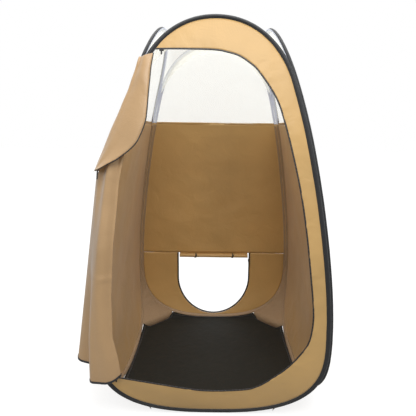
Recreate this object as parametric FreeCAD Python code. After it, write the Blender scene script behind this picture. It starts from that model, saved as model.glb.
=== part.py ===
"""Pop-up spray tanning booth: a free-standing cabin of four sprung steel hoops.

Each hoop is a closed ring of spring wire in a fabric binding, bowed outwards, and the
four rings stand side by side in pairs at the corners. Fabric walls fill the left, right
and back rings, clear film fills their tops and the roof, and the front ring holds a
doorway whose cloth is thrown back round the left corner. The back wall has a zipped
hatch whose flap is rolled up. All sizes are in millimetres, +Z is up, and the origin is
the centre of the footprint on the floor. The doorway faces -Y.
"""
import FreeCAD, Part
import math
import os
from FreeCAD import Vector

# ---- overall shape: half-width of the square plan at stations up the corner curve
FLOOR_HALF = 539.0        # at the floor
SKIRT_HEIGHT, SKIRT_HALF = 200.0, 585.0
BELLY_HEIGHT, BELLY_HALF = 450.0, 601.0
WAIST_HEIGHT, WAIST_HALF = 900.0, 568.0
CHEST_HEIGHT, CHEST_HALF = 1300.0, 507.0
SHOULDER_HEIGHT, SHOULDER_HALF = 1700.0, 418.0
CROWN_HEIGHT, CROWN_HALF = 2100.0, 292.0

# ---- hoops
BINDING_R = 10.0          # outside of the binding sleeve
BORE_R = 3.6              # channel in the sleeve that the wire runs in
WIRE_R = 2.0              # spring wire
WIRE_GAP = 1.0            # between the two ends of a wire, inside its ferrule
FERRULE_R = 3.2
FERRULE_BORE_R = 2.05
FERRULE_LENGTH = 40.0
HOOP_GAP = 0.8            # between the two bindings that stand side by side at a corner
ARC_SHARE = 0.45          # of the shorter straight run that an arc of the hoop takes up
FOOT_SQUARENESS = 2.7     # exponent of the rounded foot: 2 is an ellipse
ARCH_START = 1760.0       # height at which a hoop leaves the corner for its top arch
ARCH_RISE = 190.0         # reach of the arch's handle along the corner
ARCH_FLAT = 200.0         # reach of the arch's handle along the top

# ---- sheets
CLOTH = 2.0               # thickness that stands for the fabric walls
FILM = 1.5                # thickness that stands for the clear film
SEAM_GAP = 0.4            # between a sheet's edge and what it is sewn to
FILM_FOOT = 1576.0        # height of the seam between wall cloth and clear film
BACK_SEAM = 541.0         # height of the seam across the back wall
ROOF_SAG = 18.0
ROOF_FILM = 2.5           # measured straight down
FLOOR_SHEET = 2.0
FLOOR_FLAT_HALF = 335.0   # half of each straight floor edge, between the cut corners
FLOOR_TAPE_WIDTH = 14.0
FLOOR_TAPE = 1.2
FLOOR_TAPE_INSET = 6.0    # from the floor's edge
GUSSET = 1.5
GUSSET_TOP = 395.0
PATCH_SIDE = 58.0         # film corner patches on the side windows
PATCH = 1.0
PATCH_LIFT = 4.0          # above the film's seam
PATCH_INSET = 6.0         # from the binding
PATCH_HEIGHT = 52.2       # on its inner side
PATCH_TIP = 12.0          # height on its outer side

# ---- doorway: the zip line, seen from the front, from the top round to the foot
ZIP_LINE_TOP = 1914.0
ZIP_LINE = [(-10, ZIP_LINE_TOP), (112, 1886), (212, 1808), (297, 1680),
            (382, 1402), (456, 1022), (503, 640), (502, 530), (470, 425), (384, 317), (283, 228),
            (179, 180), (60, 167), (-40, 166)]
ZIP_FOOT_INNER = (-130.0, 178.0)   # the foot of the doorway rises in a straight line from here
ZIP_FOOT_OUTER = (-545.0, 258.0)
ZIP_TAPE_WIDTH = 12.0
ZIP_TAPE = 3.2

# ---- hatch in the back wall
HATCH_HALF = 290.0
HATCH_CENTRE = 330.0      # height of the centre of its round foot
ROLL_R = 16.5
ROLL_SIDE_GAP = 10.0      # from each end of the roll to the hatch's side
ROLL_LENGTH = 2.0 * (HATCH_HALF - ROLL_SIDE_GAP)
LOOP_WIDTH = 8.0
LOOP_WALL = 2.0
LOOP_XS = (-146.0, 155.0)
ROLL_DROP = 3.0           # of the roll's top below its seam
TOGGLE_R = 3.5
TOGGLE_PIN_R = 1.4
TOGGLE_PIN = 3.4
TOGGLE_PIN_ROOT = 0.5     # of the pin, inside its loop
TOGGLE_PIN_FIT = 0.06     # running clearance round the pin
TOGGLE_FILLET = 1.2
TOGGLE_LENGTH = 32.0
TOGGLE_LEAN = 32.0        # degrees from upright at rest

# ---- zip sliders and pulls
SLIDER = Vector(22.0, 9.0, 13.0)   # along the zip, through the cloth, across the zip
SLIDER_SLOT = 0.35        # running clearance round the tape
SLIDER_BITE = 7.0         # how far the tape enters the slider
PULL_LENGTH = 34.0
PULL_WIDTH = 8.0
PULL = 1.6
PULL_EYE_R = 2.0
PULL_PIN_R = 1.2
PULL_PIN_LENGTH = 4.2
PULL_GAP = 0.8
PULL_OVER_PIN = 5.0       # of the pull's end above its pin
PULL_FILLET = 2.4
PIN_HEAD = 0.8
PIN_ROOT = 1.0            # of the pin, inside the slider
SLIDER_FILLET = 1.6
TOP_SLIDER_X = -272.0
FOOT_SLIDER_SHARE = 0.10  # of the way along the straight foot, from its outer end
VENT_SLIDER_Z = 478.0

# ---- door cloth, thrown back round the left corner, in two parts that meet at a fold line
DOOR_CLOTH = 3.0
FOLD_FOOT = Vector(-752.0, -450.0, 278.0)    # the fold line is straight, and leans in
FOLD_HEAD = Vector(-594.0, -450.0, 1306.0)
FOLD_R = 2.4              # bead along the drape's leading edge
FOLD_GAP = 0.35           # running clearance round the bead
SEWN_GAP = 1.5            # between the cloth and the corner's bindings
GATHER_LEVELS = (262.0, 350.0, 450.0, 560.0, 680.0, 800.0, 920.0, 1040.0, 1160.0, 1250.0, 1330.0,
                 1430.0, 1530.0, 1640.0, 1740.0)
GATHER_WAIST = 1150.0
GATHER_INNER = (100.0, 52.0)       # bulge into the doorway at the foot, and at the waist
GATHER_INNER_TOP = 96.0            # and where the cloth sweeps in under the top
GATHER_FRONT = 50.0                # bulge forwards
GATHER_TOP_OUTER = 36.0            # past the corner at the top of the cloth
GATHER_SEAM_BACK = 2.0             # of the seam in front of the hoop's own plane
GATHER_TUCK = 14.0                 # forwards, where the cloth first clears the binding
DRAPE_LEVELS = (300.0, 550.0, 800.0, 1050.0, 1296.0)
DRAPE_LENGTH = 440.0               # back along the wall from the fold line
DRAPE_WAVE = 16.0                  # depth of its folds
DRAPE_WAVES = 1.5                  # folds along its length
DRAPE_WAVE_FADE = 0.4              # share of the depth lost by its rear edge
DRAPE_CLEAR = 14.0                 # least gap to the left wall's binding
DRAPE_RETURN = 0.75                # share of the way back to the wall at its rear edge
DRAPE_POINTS = 9
TIE_TAB = Vector(2.4, 8.0, 40.0)
TIE_TAB_TOP = 1322.0
TIE_TAB_X = -564.0
TIE_TAB_OUT = 0.7                  # clear of the cloth

REACH = 900.0             # past the object's sides, for cutting prisms
STATIONS = [(0.0, FLOOR_HALF), (SKIRT_HEIGHT, SKIRT_HALF), (BELLY_HEIGHT, BELLY_HALF),
            (WAIST_HEIGHT, WAIST_HALF), (CHEST_HEIGHT, CHEST_HALF),
            (SHOULDER_HEIGHT, SHOULDER_HALF), (CROWN_HEIGHT, CROWN_HALF)]
PAIR_SHIFT = (2 * BINDING_R + HOOP_GAP) / (2 * math.sqrt(2))   # of each hoop from the corner curve
FOOT_Z = BINDING_R                     # a hoop's centreline at its lowest
TOP_Z = CROWN_HEIGHT - BINDING_R       # and at its highest


def spline_slopes(stations):
    """Second derivatives of the natural cubic spline through (height, half-width) stations."""
    n = len(stations)
    second = [0.0] * n
    work = [0.0] * n
    for i in range(1, n - 1):
        (z0, h0), (z1, h1), (z2, h2) = stations[i - 1:i + 2]
        share = (z1 - z0) / (z2 - z0)
        pivot = share * second[i - 1] + 2.0
        second[i] = (share - 1.0) / pivot
        bend = (h2 - h1) / (z2 - z1) - (h1 - h0) / (z1 - z0)
        work[i] = (6.0 * bend / (z2 - z0) - share * work[i - 1]) / pivot
    for i in range(n - 2, -1, -1):
        second[i] = second[i] * second[i + 1] + work[i]
    return second


SECOND = spline_slopes(STATIONS)


def half(z):
    """Half-width of the plan at height z: the corner curve runs through (half, half, z)."""
    z = min(max(z, STATIONS[0][0]), STATIONS[-1][0])
    i = next(k for k in range(len(STATIONS) - 1) if z <= STATIONS[k + 1][0])
    (z0, h0), (z1, h1) = STATIONS[i:i + 2]
    step = z1 - z0
    a = (z1 - z) / step
    b = 1.0 - a
    return (a * h0 + b * h1
            + ((a ** 3 - a) * SECOND[i] + (b ** 3 - b) * SECOND[i + 1]) * step ** 2 / 6.0)


def hoop_outline(count_foot=9, count_side=7, count_arch=7):
    """(x, z) of the right half of a hoop's centreline seen square on, from foot to crown."""
    points = []
    widest = half(BELLY_HEIGHT) - PAIR_SHIFT
    power = 2.0 / FOOT_SQUARENESS
    for i in range(count_foot):
        t = 0.5 * math.pi * i / (count_foot - 1)
        x = widest * math.sin(t) ** power
        z = FOOT_Z + (BELLY_HEIGHT - FOOT_Z) * (1.0 - max(math.cos(t), 0.0) ** power)
        points.append((x, z))
    for i in range(1, count_side):
        z = BELLY_HEIGHT + (ARCH_START - BELLY_HEIGHT) * i / (count_side - 1)
        points.append((half(z) - PAIR_SHIFT, z))
    slope = (half(ARCH_START + 1.0) - half(ARCH_START - 1.0)) / 2.0
    x0 = half(ARCH_START) - PAIR_SHIFT
    handles = [(x0, ARCH_START), (x0 + slope * ARCH_RISE, ARCH_START + ARCH_RISE),
               (ARCH_FLAT, TOP_Z), (0.0, TOP_Z)]
    for i in range(1, count_arch):
        t = i / (count_arch - 1)
        weights = ((1 - t) ** 3, 3 * t * (1 - t) ** 2, 3 * t * t * (1 - t), t ** 3)
        points.append(tuple(sum(w * h[k] for w, h in zip(weights, handles)) for k in (0, 1)))
    return points


def front_y(z):
    """The front hoop's own surface at height z."""
    return -(half(z) + PAIR_SHIFT)


def spline_edge(points, periodic=False):
    curve = Part.BSplineCurve()
    curve.interpolate(Points=points, PeriodicFlag=periodic)
    return curve.toShape()


def hoop_points():
    """The points that turn the front hoop's centreline, all the way round from its foot."""
    right = hoop_outline()
    left = [(-x, z) for x, z in reversed(right[1:-1])]
    return [Vector(x, front_y(z), z) for x, z in right + left]


def rounded_path(points):
    """A closed wire through straight runs joined by arcs that touch both, and its start."""
    bends = []
    for i, p in enumerate(points):
        before, after = points[i - 1] - p, points[(i + 1) % len(points)] - p
        reach = ARC_SHARE * min(before.Length, after.Length)
        before.normalize()
        after.normalize()
        half_inner = before.getAngle(after) / 2.0
        centre = p + (before + after).normalize() * (reach / math.cos(half_inner))
        nearest = centre + (p - centre).normalize() * (reach * math.tan(half_inner))
        bends.append((p + before * reach, nearest, p + after * reach))
    edges = []
    for i, bend in enumerate(bends):
        edges.append(Part.makeLine(bends[i - 1][2], bend[0]))
        edges.append(Part.Arc(*bend).toShape())
    return Part.Wire(edges), bends[-1][2], bends[0][0] - bends[-1][2]


def hoop_bar(radius):
    """A round bar along the front hoop's centreline."""
    path, start, along = rounded_path(hoop_points())
    ring = Part.Wire([Part.makeCircle(radius, start, along)])
    return path.makePipeShell([ring], True, False)


def egg_prism(inset):
    """Everything inside the front hoop, seen from the front, less a margin."""
    flat = [Vector(p.x, -REACH, p.z) for p in hoop_points()]
    outline = rounded_path(flat)[0].makeOffset2D(-inset)
    return Part.Face(Part.Wire(outline.Edges)).extrude(Vector(0, REACH, 0))


def wall_slab(thickness, low=0.0, high=CROWN_HEIGHT):
    """A sheet on the front hoop's surface, as wide as the object, from low to high."""
    count = 27
    zs = [low + (high - low) * i / (count - 1) for i in range(count)]
    outer = [Vector(0, front_y(z) - thickness / 2.0, z) for z in zs]
    inner = [Vector(0, front_y(z) + thickness / 2.0, z) for z in zs]
    edges = [spline_edge(outer), Part.makeLine(outer[-1], inner[-1]),
             spline_edge(inner[::-1]), Part.makeLine(inner[0], outer[0])]
    face = Part.Face(Part.Wire(edges))
    face.translate(Vector(-REACH, 0, 0))
    return face.extrude(Vector(2 * REACH, 0, 0))


def turned(shape, quarter_turns):
    """A copy turned about the vertical axis: 1 is the right side, 2 the back, 3 the left."""
    copy = shape.copy()
    copy.rotate(Vector(0, 0, 0), Vector(0, 0, 1), 90.0 * quarter_turns)
    return copy


def doorway_prism(grow):
    """Everything left of and inside the zip line, grown outwards by a margin."""
    foot = Vector(ZIP_FOOT_OUTER[0] - ZIP_FOOT_INNER[0], 0, ZIP_FOOT_OUTER[1] - ZIP_FOOT_INNER[1])
    far_foot = Vector(ZIP_FOOT_OUTER[0], -REACH, ZIP_FOOT_OUTER[1]) + foot
    far_top = Vector(far_foot.x, -REACH, ZIP_LINE_TOP)
    points = [Vector(x, -REACH, z) for x, z in ZIP_LINE + [ZIP_FOOT_INNER]] + [far_foot, far_top]
    outline = rounded_path(points)[0]
    if grow:
        outline = outline.makeOffset2D(grow)
    return Part.Face(Part.Wire(outline.Edges)).extrude(Vector(0, REACH, 0))


def hatch_prism(grow):
    """The hatch, straight-topped and round-footed, in the front wall's place, ready to turn."""
    r = HATCH_HALF + grow
    top = BACK_SEAM + (1.0 if grow else 0.0)
    left, right = Vector(-r, 0, HATCH_CENTRE), Vector(r, 0, HATCH_CENTRE)
    edges = [Part.Arc(left, Vector(0, 0, HATCH_CENTRE - r), right).toShape(),
             Part.makeLine(right, Vector(r, 0, top)),
             Part.makeLine(Vector(r, 0, top), Vector(-r, 0, top)),
             Part.makeLine(Vector(-r, 0, top), left)]
    face = Part.Face(Part.Wire(edges))
    face.translate(Vector(0, -REACH, 0))
    return face.extrude(Vector(0, REACH, 0))


def band(low, high):
    """A box over the whole plan between two heights."""
    return Part.makeBox(2 * REACH, 2 * REACH, high - low, Vector(-REACH, -REACH, low))


def make_hoop_parts():
    """The binding, wire and ferrule of the front hoop."""
    binding = hoop_bar(BINDING_R).cut(hoop_bar(BORE_R))
    gap = Part.makeBox(WIRE_GAP, 2 * REACH, 4 * BINDING_R, Vector(-WIRE_GAP / 2.0, -REACH, -BINDING_R))
    wire = hoop_bar(WIRE_R).cut(gap)
    length = Part.makeBox(FERRULE_LENGTH, 2 * REACH, 4 * BINDING_R,
                          Vector(-FERRULE_LENGTH / 2.0, -REACH, -BINDING_R))
    ferrule = hoop_bar(FERRULE_R).common(length).cut(hoop_bar(FERRULE_BORE_R))
    return binding, wire, ferrule


def in_hoop(slab):
    """What is left of a wide sheet inside the front hoop's binding."""
    return slab.common(egg_prism(BINDING_R + SEAM_GAP))


def make_walls():
    """The cloth and film that fill a whole hoop, before any opening is cut."""
    cloth = in_hoop(wall_slab(CLOTH))
    film = in_hoop(wall_slab(FILM)).common(band(FILM_FOOT + SEAM_GAP, CROWN_HEIGHT))
    return cloth, film


def make_doorway(cloth):
    """The front surround and the zip tape round the doorway."""
    surround = cloth.cut(doorway_prism(ZIP_TAPE_WIDTH + SEAM_GAP))
    tape = in_hoop(wall_slab(ZIP_TAPE)).common(doorway_prism(ZIP_TAPE_WIDTH)).cut(doorway_prism(0.0))
    return surround, tape


def make_back(cloth):
    """The back wall in two widths of cloth, and the zip tape round its hatch."""
    upper = cloth.common(band(BACK_SEAM + SEAM_GAP, FILM_FOOT))
    lower = cloth.common(band(0.0, BACK_SEAM)).cut(hatch_prism(ZIP_TAPE_WIDTH + SEAM_GAP))
    tape = wall_slab(ZIP_TAPE).common(hatch_prism(ZIP_TAPE_WIDTH)).cut(hatch_prism(0.0))
    tape = tape.common(band(0.0, BACK_SEAM - SEAM_GAP))
    return turned(upper, 2), turned(lower, 2), turned(tape, 2)


def roof_edge(s):
    """A point of the roof's front edge, beside the front hoop's arch; s runs from -1 to 1."""
    arch = [p for p in hoop_outline(count_arch=25) if p[1] >= ARCH_START]
    place = (1.0 - abs(s)) * (len(arch) - 1)
    i = min(int(place), len(arch) - 2)
    share = place - i
    x = arch[i][0] * (1 - share) + arch[i + 1][0] * share
    z = arch[i][1] * (1 - share) + arch[i + 1][1] * share
    corner = half(ARCH_START)
    clear = BINDING_R + SEAM_GAP
    tuck = clear + 1.8
    y = front_y(z) + clear + (PAIR_SHIFT + tuck - clear) * abs(s) ** 4
    return Vector(math.copysign(x * (corner - tuck) / (corner - PAIR_SHIFT), s), y, z)


def make_roof():
    """Clear film stretched between the four arches."""
    count = 17
    grid = []
    for j in range(count):
        row = []
        for i in range(count):
            s, t = 2.0 * i / (count - 1) - 1.0, 2.0 * j / (count - 1) - 1.0
            front = roof_edge(s)
            side = roof_edge(t)
            across = Vector(front.x, front.y * -t, front.z)
            along = Vector(side.y * -s, side.x, side.z)
            near_side, near_front = 1.0 - s * s, 1.0 - t * t
            total = near_side + near_front
            blend = across if total < 1e-9 else (across * near_side + along * near_front) * (1.0 / total)
            row.append(blend - Vector(0, 0, ROOF_SAG * near_side * near_front))
        grid.append(row)
    surface = Part.BSplineSurface()
    surface.interpolate(grid)
    return surface.toShape().extrude(Vector(0, 0, -ROOF_FILM))


def make_gusset():
    """The corner piece at the foot between the front and right hoops."""
    clear = BINDING_R + 2 * SEAM_GAP
    foot = [p for p in hoop_outline(count_foot=31) if p[1] <= GUSSET_TOP and p[0] > FLOOR_FLAT_HALF]
    front = [Vector(x, front_y(z) + clear, z) for x, z in reversed(foot)]
    front.append(Vector(FLOOR_FLAT_HALF, front_y(0.0) + clear, FLOOR_SHEET + SEAM_GAP))
    side = [Vector(-p.y, -p.x, p.z) for p in front]
    face = Part.makeRuledSurface(spline_edge(front), spline_edge(side))
    return face.extrude(Vector(-1, 1, 0).normalize() * GUSSET)


def octagon(margin, low, thickness):
    """The floor's outline: four straight edges and four cut corners."""
    under = math.sqrt(BINDING_R ** 2 - (BINDING_R - FLOOR_SHEET) ** 2)
    reach = -front_y(0.0) - under - SEAM_GAP - margin
    flat = FLOOR_FLAT_HALF - margin * (math.sqrt(2) - 1.0)
    corners = []
    for x, y in ((flat, -reach), (reach, -flat), (reach, flat), (flat, reach)):
        corners.append(Vector(x, y, low))
    corners += [Vector(-p.x, -p.y, low) for p in corners]
    return Part.Face(Part.makePolygon(corners + corners[:1])).extrude(Vector(0, 0, thickness))


def make_floor():
    sheet = octagon(0.0, 0.0, FLOOR_SHEET)
    outside = octagon(FLOOR_TAPE_INSET, FLOOR_SHEET, FLOOR_TAPE)
    inside = octagon(FLOOR_TAPE_INSET + FLOOR_TAPE_WIDTH, FLOOR_SHEET, FLOOR_TAPE)
    return sheet, outside.cut(inside)


def make_patch():
    """A film patch in the lower rear corner of the right window, on its inner face."""
    z = FILM_FOOT + PATCH_LIFT
    edge = half(z) - PAIR_SHIFT - BINDING_R - PATCH_INSET
    slab = wall_slab(PATCH)
    slab.translate(Vector(0, (FILM + PATCH) / 2.0 + SEAM_GAP, 0))
    outline = [Vector(edge, -REACH, z), Vector(edge - PATCH_SIDE, -REACH, z),
               Vector(edge - PATCH_SIDE, -REACH, z + PATCH_HEIGHT),
               Vector(edge, -REACH, z + PATCH_TIP)]
    prism = Part.Face(Part.makePolygon(outline + outline[:1])).extrude(Vector(0, REACH, 0))
    return turned(slab.common(prism), 1)


def box_at(centre, size):
    corner = centre - size * 0.5
    return Part.makeBox(size.x, size.y, size.z, corner)


def make_slider(tape_edge):
    """A slider in its own frame: the zip runs along X, the tape enters from +Z, front is -Y."""
    body = box_at(Vector(0, 0, 0), SLIDER)
    body = body.makeFillet(SLIDER_FILLET, [e for e in body.Edges if abs(e.tangentAt(0).y) < 0.5])
    slot = Vector(SLIDER.x + 2, ZIP_TAPE + 2 * SLIDER_SLOT, 2 * (SLIDER_BITE + 2 * SLIDER_SLOT))
    body = body.cut(box_at(Vector(0, 0, SLIDER.z / 2.0), slot))
    pin_start = Vector(0, -SLIDER.y / 2.0 - PULL_PIN_LENGTH, 0)
    pin = Part.makeCylinder(PULL_PIN_R, PULL_PIN_LENGTH + PIN_ROOT, pin_start, Vector(0, 1, 0))
    head = Part.makeCylinder(PULL_PIN_R * 2.0, PIN_HEAD, pin_start, Vector(0, 1, 0))
    body = body.fuse([pin, head])
    body.translate(Vector(0, 0, tape_edge))
    return body


def make_pull(tape_edge):
    """The pull that hangs on a slider's pin, straight down."""
    y = -SLIDER.y / 2.0 - PULL_GAP - PULL
    corner = Vector(-PULL_WIDTH / 2.0, y, PULL_OVER_PIN - PULL_LENGTH)
    tab = Part.makeBox(PULL_WIDTH, PULL, PULL_LENGTH, corner)
    tab = tab.makeFillet(PULL_FILLET, [e for e in tab.Edges if abs(e.tangentAt(0).y) > 0.9])
    tab = tab.cut(Part.makeCylinder(PULL_EYE_R, 10, Vector(0, y - 2, 0), Vector(0, 1, 0)))
    tab.translate(Vector(0, 0, tape_edge))
    return tab


def placed(shape, point, tilt_deg=0.0, lean_deg=0.0, quarter_turns=0):
    """Leans a small part about X, tilts it about Y, moves it and turns it to its wall."""
    copy = shape.copy()
    copy.rotate(Vector(0, 0, 0), Vector(0, 1, 0), tilt_deg)
    copy.rotate(Vector(0, 0, 0), Vector(1, 0, 0), lean_deg)
    copy.translate(point)
    return turned(copy, quarter_turns)


def wall_lean(z):
    """Degrees by which the front wall leans back at height z."""
    return math.degrees(math.atan2(half(z + 1.0) - half(z - 1.0), 2.0))


def make_sliders():
    """Two sliders on the doorway's zip and one on the hatch's, each with its pull."""
    reach = SLIDER_BITE - SLIDER.z / 2.0
    parts = {}
    top = Vector(TOP_SLIDER_X, front_y(ZIP_LINE_TOP), ZIP_LINE_TOP)
    lean = wall_lean(ZIP_LINE_TOP)
    parts["door_top_slider"] = placed(make_slider(reach), top, 0.0, lean)
    parts["door_top_pull"] = placed(make_pull(reach), top, 0.0, lean)
    a, b = ZIP_FOOT_OUTER, ZIP_FOOT_INNER
    share = FOOT_SLIDER_SHARE
    x, z = a[0] + (b[0] - a[0]) * share, a[1] + (b[1] - a[1]) * share
    point = Vector(x, front_y(z), z)
    tilt = math.degrees(math.atan2(a[1] - b[1], b[0] - a[0]))
    lean = wall_lean(z)
    parts["door_foot_slider"] = placed(make_slider(reach), point, 180.0 + tilt, lean)
    pull = make_pull(0.0)
    pull.translate(Vector(-reach * math.sin(math.radians(tilt)), 0, -reach * math.cos(math.radians(tilt))))
    parts["door_foot_pull"] = placed(pull, point, 0.0, lean)
    point = Vector(-HATCH_HALF, front_y(VENT_SLIDER_Z), VENT_SLIDER_Z)
    lean = wall_lean(VENT_SLIDER_Z)
    inward = make_slider(reach)
    inward.rotate(Vector(0, 0, 0), Vector(0, 1, 0), -90.0)
    inward.rotate(Vector(0, 0, 0), Vector(1, 0, 0), 180.0)
    parts["vent_slider"] = placed(inward, point, 0.0, lean, 2)
    pull = make_pull(0.0)
    pull.rotate(Vector(0, 0, 0), Vector(0, 0, 1), 180.0)
    pull.translate(Vector(-reach, 0, 0))
    parts["vent_pull"] = placed(pull, point, 0.0, lean, 2)
    return parts


def make_vent_roll():
    """The hatch's flap rolled up under its seam, with the loops and toggles that hold it."""
    wall_y = -front_y(BACK_SEAM)
    y = wall_y + CLOTH / 2.0 - ROLL_R
    z = BACK_SEAM - ROLL_R - ROLL_DROP
    loop_bore = ROLL_R + SEAM_GAP
    loop_out = loop_bore + LOOP_WALL
    roll = Part.makeCylinder(ROLL_R, ROLL_LENGTH, Vector(-ROLL_LENGTH / 2.0, y, z), Vector(1, 0, 0))
    neck_corner = Vector(-ROLL_LENGTH / 2.0, wall_y - CLOTH / 2.0, z)
    neck = Part.makeBox(ROLL_LENGTH, CLOTH, BACK_SEAM - z, neck_corner)
    parts = {}
    for name, x in zip(("left", "right"), LOOP_XS):
        start = Vector(x - LOOP_WIDTH / 2.0, y, z)
        notch = Part.makeBox(LOOP_WIDTH + 2 * SEAM_GAP, 2 * loop_out, 2 * loop_out,
                             Vector(start.x - SEAM_GAP, y, z))
        neck = neck.cut(notch)
        ring = Part.makeCylinder(loop_out, LOOP_WIDTH, start, Vector(1, 0, 0))
        ring = ring.cut(Part.makeCylinder(loop_bore, LOOP_WIDTH, start, Vector(1, 0, 0)))
        pin_start = Vector(x, y - loop_out + TOGGLE_PIN_ROOT, z)
        pin = Part.makeCylinder(TOGGLE_PIN_R, TOGGLE_PIN, pin_start, Vector(0, -1, 0))
        parts["vent_loop_" + name] = ring.fuse(pin)
        bar = Part.makeCylinder(TOGGLE_R, TOGGLE_LENGTH, Vector(0, 0, -TOGGLE_LENGTH / 2.0))
        bar = bar.makeFillet(TOGGLE_FILLET, [e for e in bar.Edges if e.Closed])
        hole = Part.makeCylinder(TOGGLE_PIN_R + TOGGLE_PIN_FIT, 2 * TOGGLE_R, Vector(0, 2 * TOGGLE_R, 0),
                                 Vector(0, -1, 0))
        bar = bar.cut(hole)
        bar.rotate(Vector(0, 0, 0), Vector(0, 1, 0), TOGGLE_LEAN)
        bar.translate(Vector(x, y - loop_out - SEAM_GAP - TOGGLE_R, z))
        parts["vent_toggle_" + name] = bar
    parts["vent_flap_roll"] = roll.fuse(neck)
    return parts


def cloth_section(points, z, thickness):
    """A closed strip of that thickness along plan points, at one height."""
    outer, inner = [], []
    for i, p in enumerate(points):
        a, b = points[max(i - 1, 0)], points[min(i + 1, len(points) - 1)]
        along = Vector(b[0] - a[0], b[1] - a[1], 0).normalize()
        side = Vector(along.y, -along.x, 0) * (thickness / 2.0)
        outer.append(Vector(p[0], p[1], z) + side)
        inner.append(Vector(p[0], p[1], z) - side)
    return Part.Wire([spline_edge(outer), Part.makeLine(outer[-1], inner[-1]),
                      spline_edge(inner[::-1]), Part.makeLine(inner[0], outer[0])])


def fold_point(z):
    """The fold line between the sewn part and the drape, at height z."""
    share = (z - FOLD_FOOT.z) / (FOLD_HEAD.z - FOLD_FOOT.z)
    return FOLD_FOOT + (FOLD_HEAD - FOLD_FOOT) * share


def hoop_side(z):
    """Half-width of the front hoop's centreline at height z, below its arch."""
    if z >= BELLY_HEIGHT:
        return half(z) - PAIR_SHIFT
    drop = (BELLY_HEIGHT - z) / (BELLY_HEIGHT - FOOT_Z)
    return (half(BELLY_HEIGHT) - PAIR_SHIFT) * (1.0 - drop ** FOOT_SQUARENESS) ** (1.0 / FOOT_SQUARENESS)


def gather_inner(z):
    """How far the sewn part reaches into the doorway at height z."""
    foot, waist = GATHER_INNER
    if z <= GATHER_WAIST:
        return waist + (foot - waist) * ((GATHER_WAIST - z) / (GATHER_WAIST - GATHER_LEVELS[0])) ** 2
    share = (z - GATHER_WAIST) / (GATHER_LEVELS[-1] - GATHER_WAIST)
    return waist + (GATHER_INNER_TOP - waist) * math.sin(0.5 * math.pi * share)


def gather_path(z):
    """Where the sewn part of the door's cloth runs at height z, from its seam to its rear edge."""
    seam = PAIR_SHIFT + BINDING_R + DOOR_CLOTH / 2.0 + SEWN_GAP
    corner = Vector(-half(z), -half(z), 0)
    end = fold_point(min(z, FOLD_HEAD.z))
    share = max(0.0, z - FOLD_HEAD.z) / (GATHER_LEVELS[-1] - FOLD_HEAD.z)
    top_end = Vector(corner.x - GATHER_TOP_OUTER, FOLD_HEAD.y + half(FOLD_HEAD.z) - half(z), 0)
    end = end * (1.0 - share) + top_end * share - Vector(0, FOLD_R + FOLD_GAP, 0)
    inner, side = gather_inner(z), corner.x - end.x
    hoop_shift = -hoop_side(z) - PAIR_SHIFT - corner.x
    sewn = [(seam, -PAIR_SHIFT - GATHER_SEAM_BACK), (0.75 * inner, -GATHER_TUCK),
            (inner, -0.55 * GATHER_FRONT), (0.5 * inner, -0.95 * GATHER_FRONT)]
    free = [(-0.2 * side, -GATHER_FRONT), (-0.75 * side, -0.6 * GATHER_FRONT)]
    points = [(corner.x + hoop_shift + x, corner.y + y) for x, y in sewn]
    points += [(corner.x + x, corner.y + y) for x, y in free]
    return points + [(end.x, end.y)]


def make_gather():
    """The part of the door's cloth that is sewn to the left corner and bulges round it."""
    sections = [cloth_section(gather_path(z), z, DOOR_CLOTH) for z in GATHER_LEVELS]
    return Part.makeLoft(sections, True, True)


def make_drape():
    """The part of the door's cloth that trails back along the left wall and can swing out."""
    sections = []
    for z in DRAPE_LEVELS:
        fold = fold_point(z)
        wall = -half(z) - PAIR_SHIFT - BINDING_R - DRAPE_CLEAR
        path = []
        for i in range(DRAPE_POINTS):
            share = i / (DRAPE_POINTS - 1)
            fade = 1.0 - DRAPE_WAVE_FADE * share
            wave = DRAPE_WAVE * math.sin(2.0 * math.pi * DRAPE_WAVES * share) * fade
            x = fold.x + (wall - fold.x) * DRAPE_RETURN * share ** 2 - wave
            path.append((min(x, wall), fold.y + DRAPE_LENGTH * share))
        sections.append(cloth_section(path, z, DOOR_CLOTH))
    sheet = Part.makeLoft(sections, True, True)
    foot, head = fold_point(DRAPE_LEVELS[0]), fold_point(DRAPE_LEVELS[-1])
    bead = Part.makeCylinder(FOLD_R, (head - foot).Length, foot, head - foot)
    return sheet.fuse(bead)


def make_tie_tab():
    """A webbing tab that lies on the front of the gathered cloth, where its zip ends."""
    rows = []
    for z in (TIE_TAB_TOP, TIE_TAB_TOP - TIE_TAB.z):
        curve = Part.BSplineCurve()
        curve.interpolate(Points=[Vector(x, y, z) for x, y in gather_path(z)])
        place = curve.parameter(Vector(TIE_TAB_X, gather_path(z)[-2][1], z))
        along = curve.tangent(place)[0] * (TIE_TAB.y / 2.0)
        rows.append((curve.value(place) - along, curve.value(place) + along))
    (a, b), (c, d) = rows
    outwards = (b - a).cross(c - a).normalize()
    if outwards.y > 0:
        outwards = outwards * -1.0
    face = Part.Face(Part.makePolygon([a, b, b + (c - a), c, a]))
    face.translate(outwards * (DOOR_CLOTH / 2.0 + TIE_TAB_OUT))
    return face.extrude(outwards * TIE_TAB.x)


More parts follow.
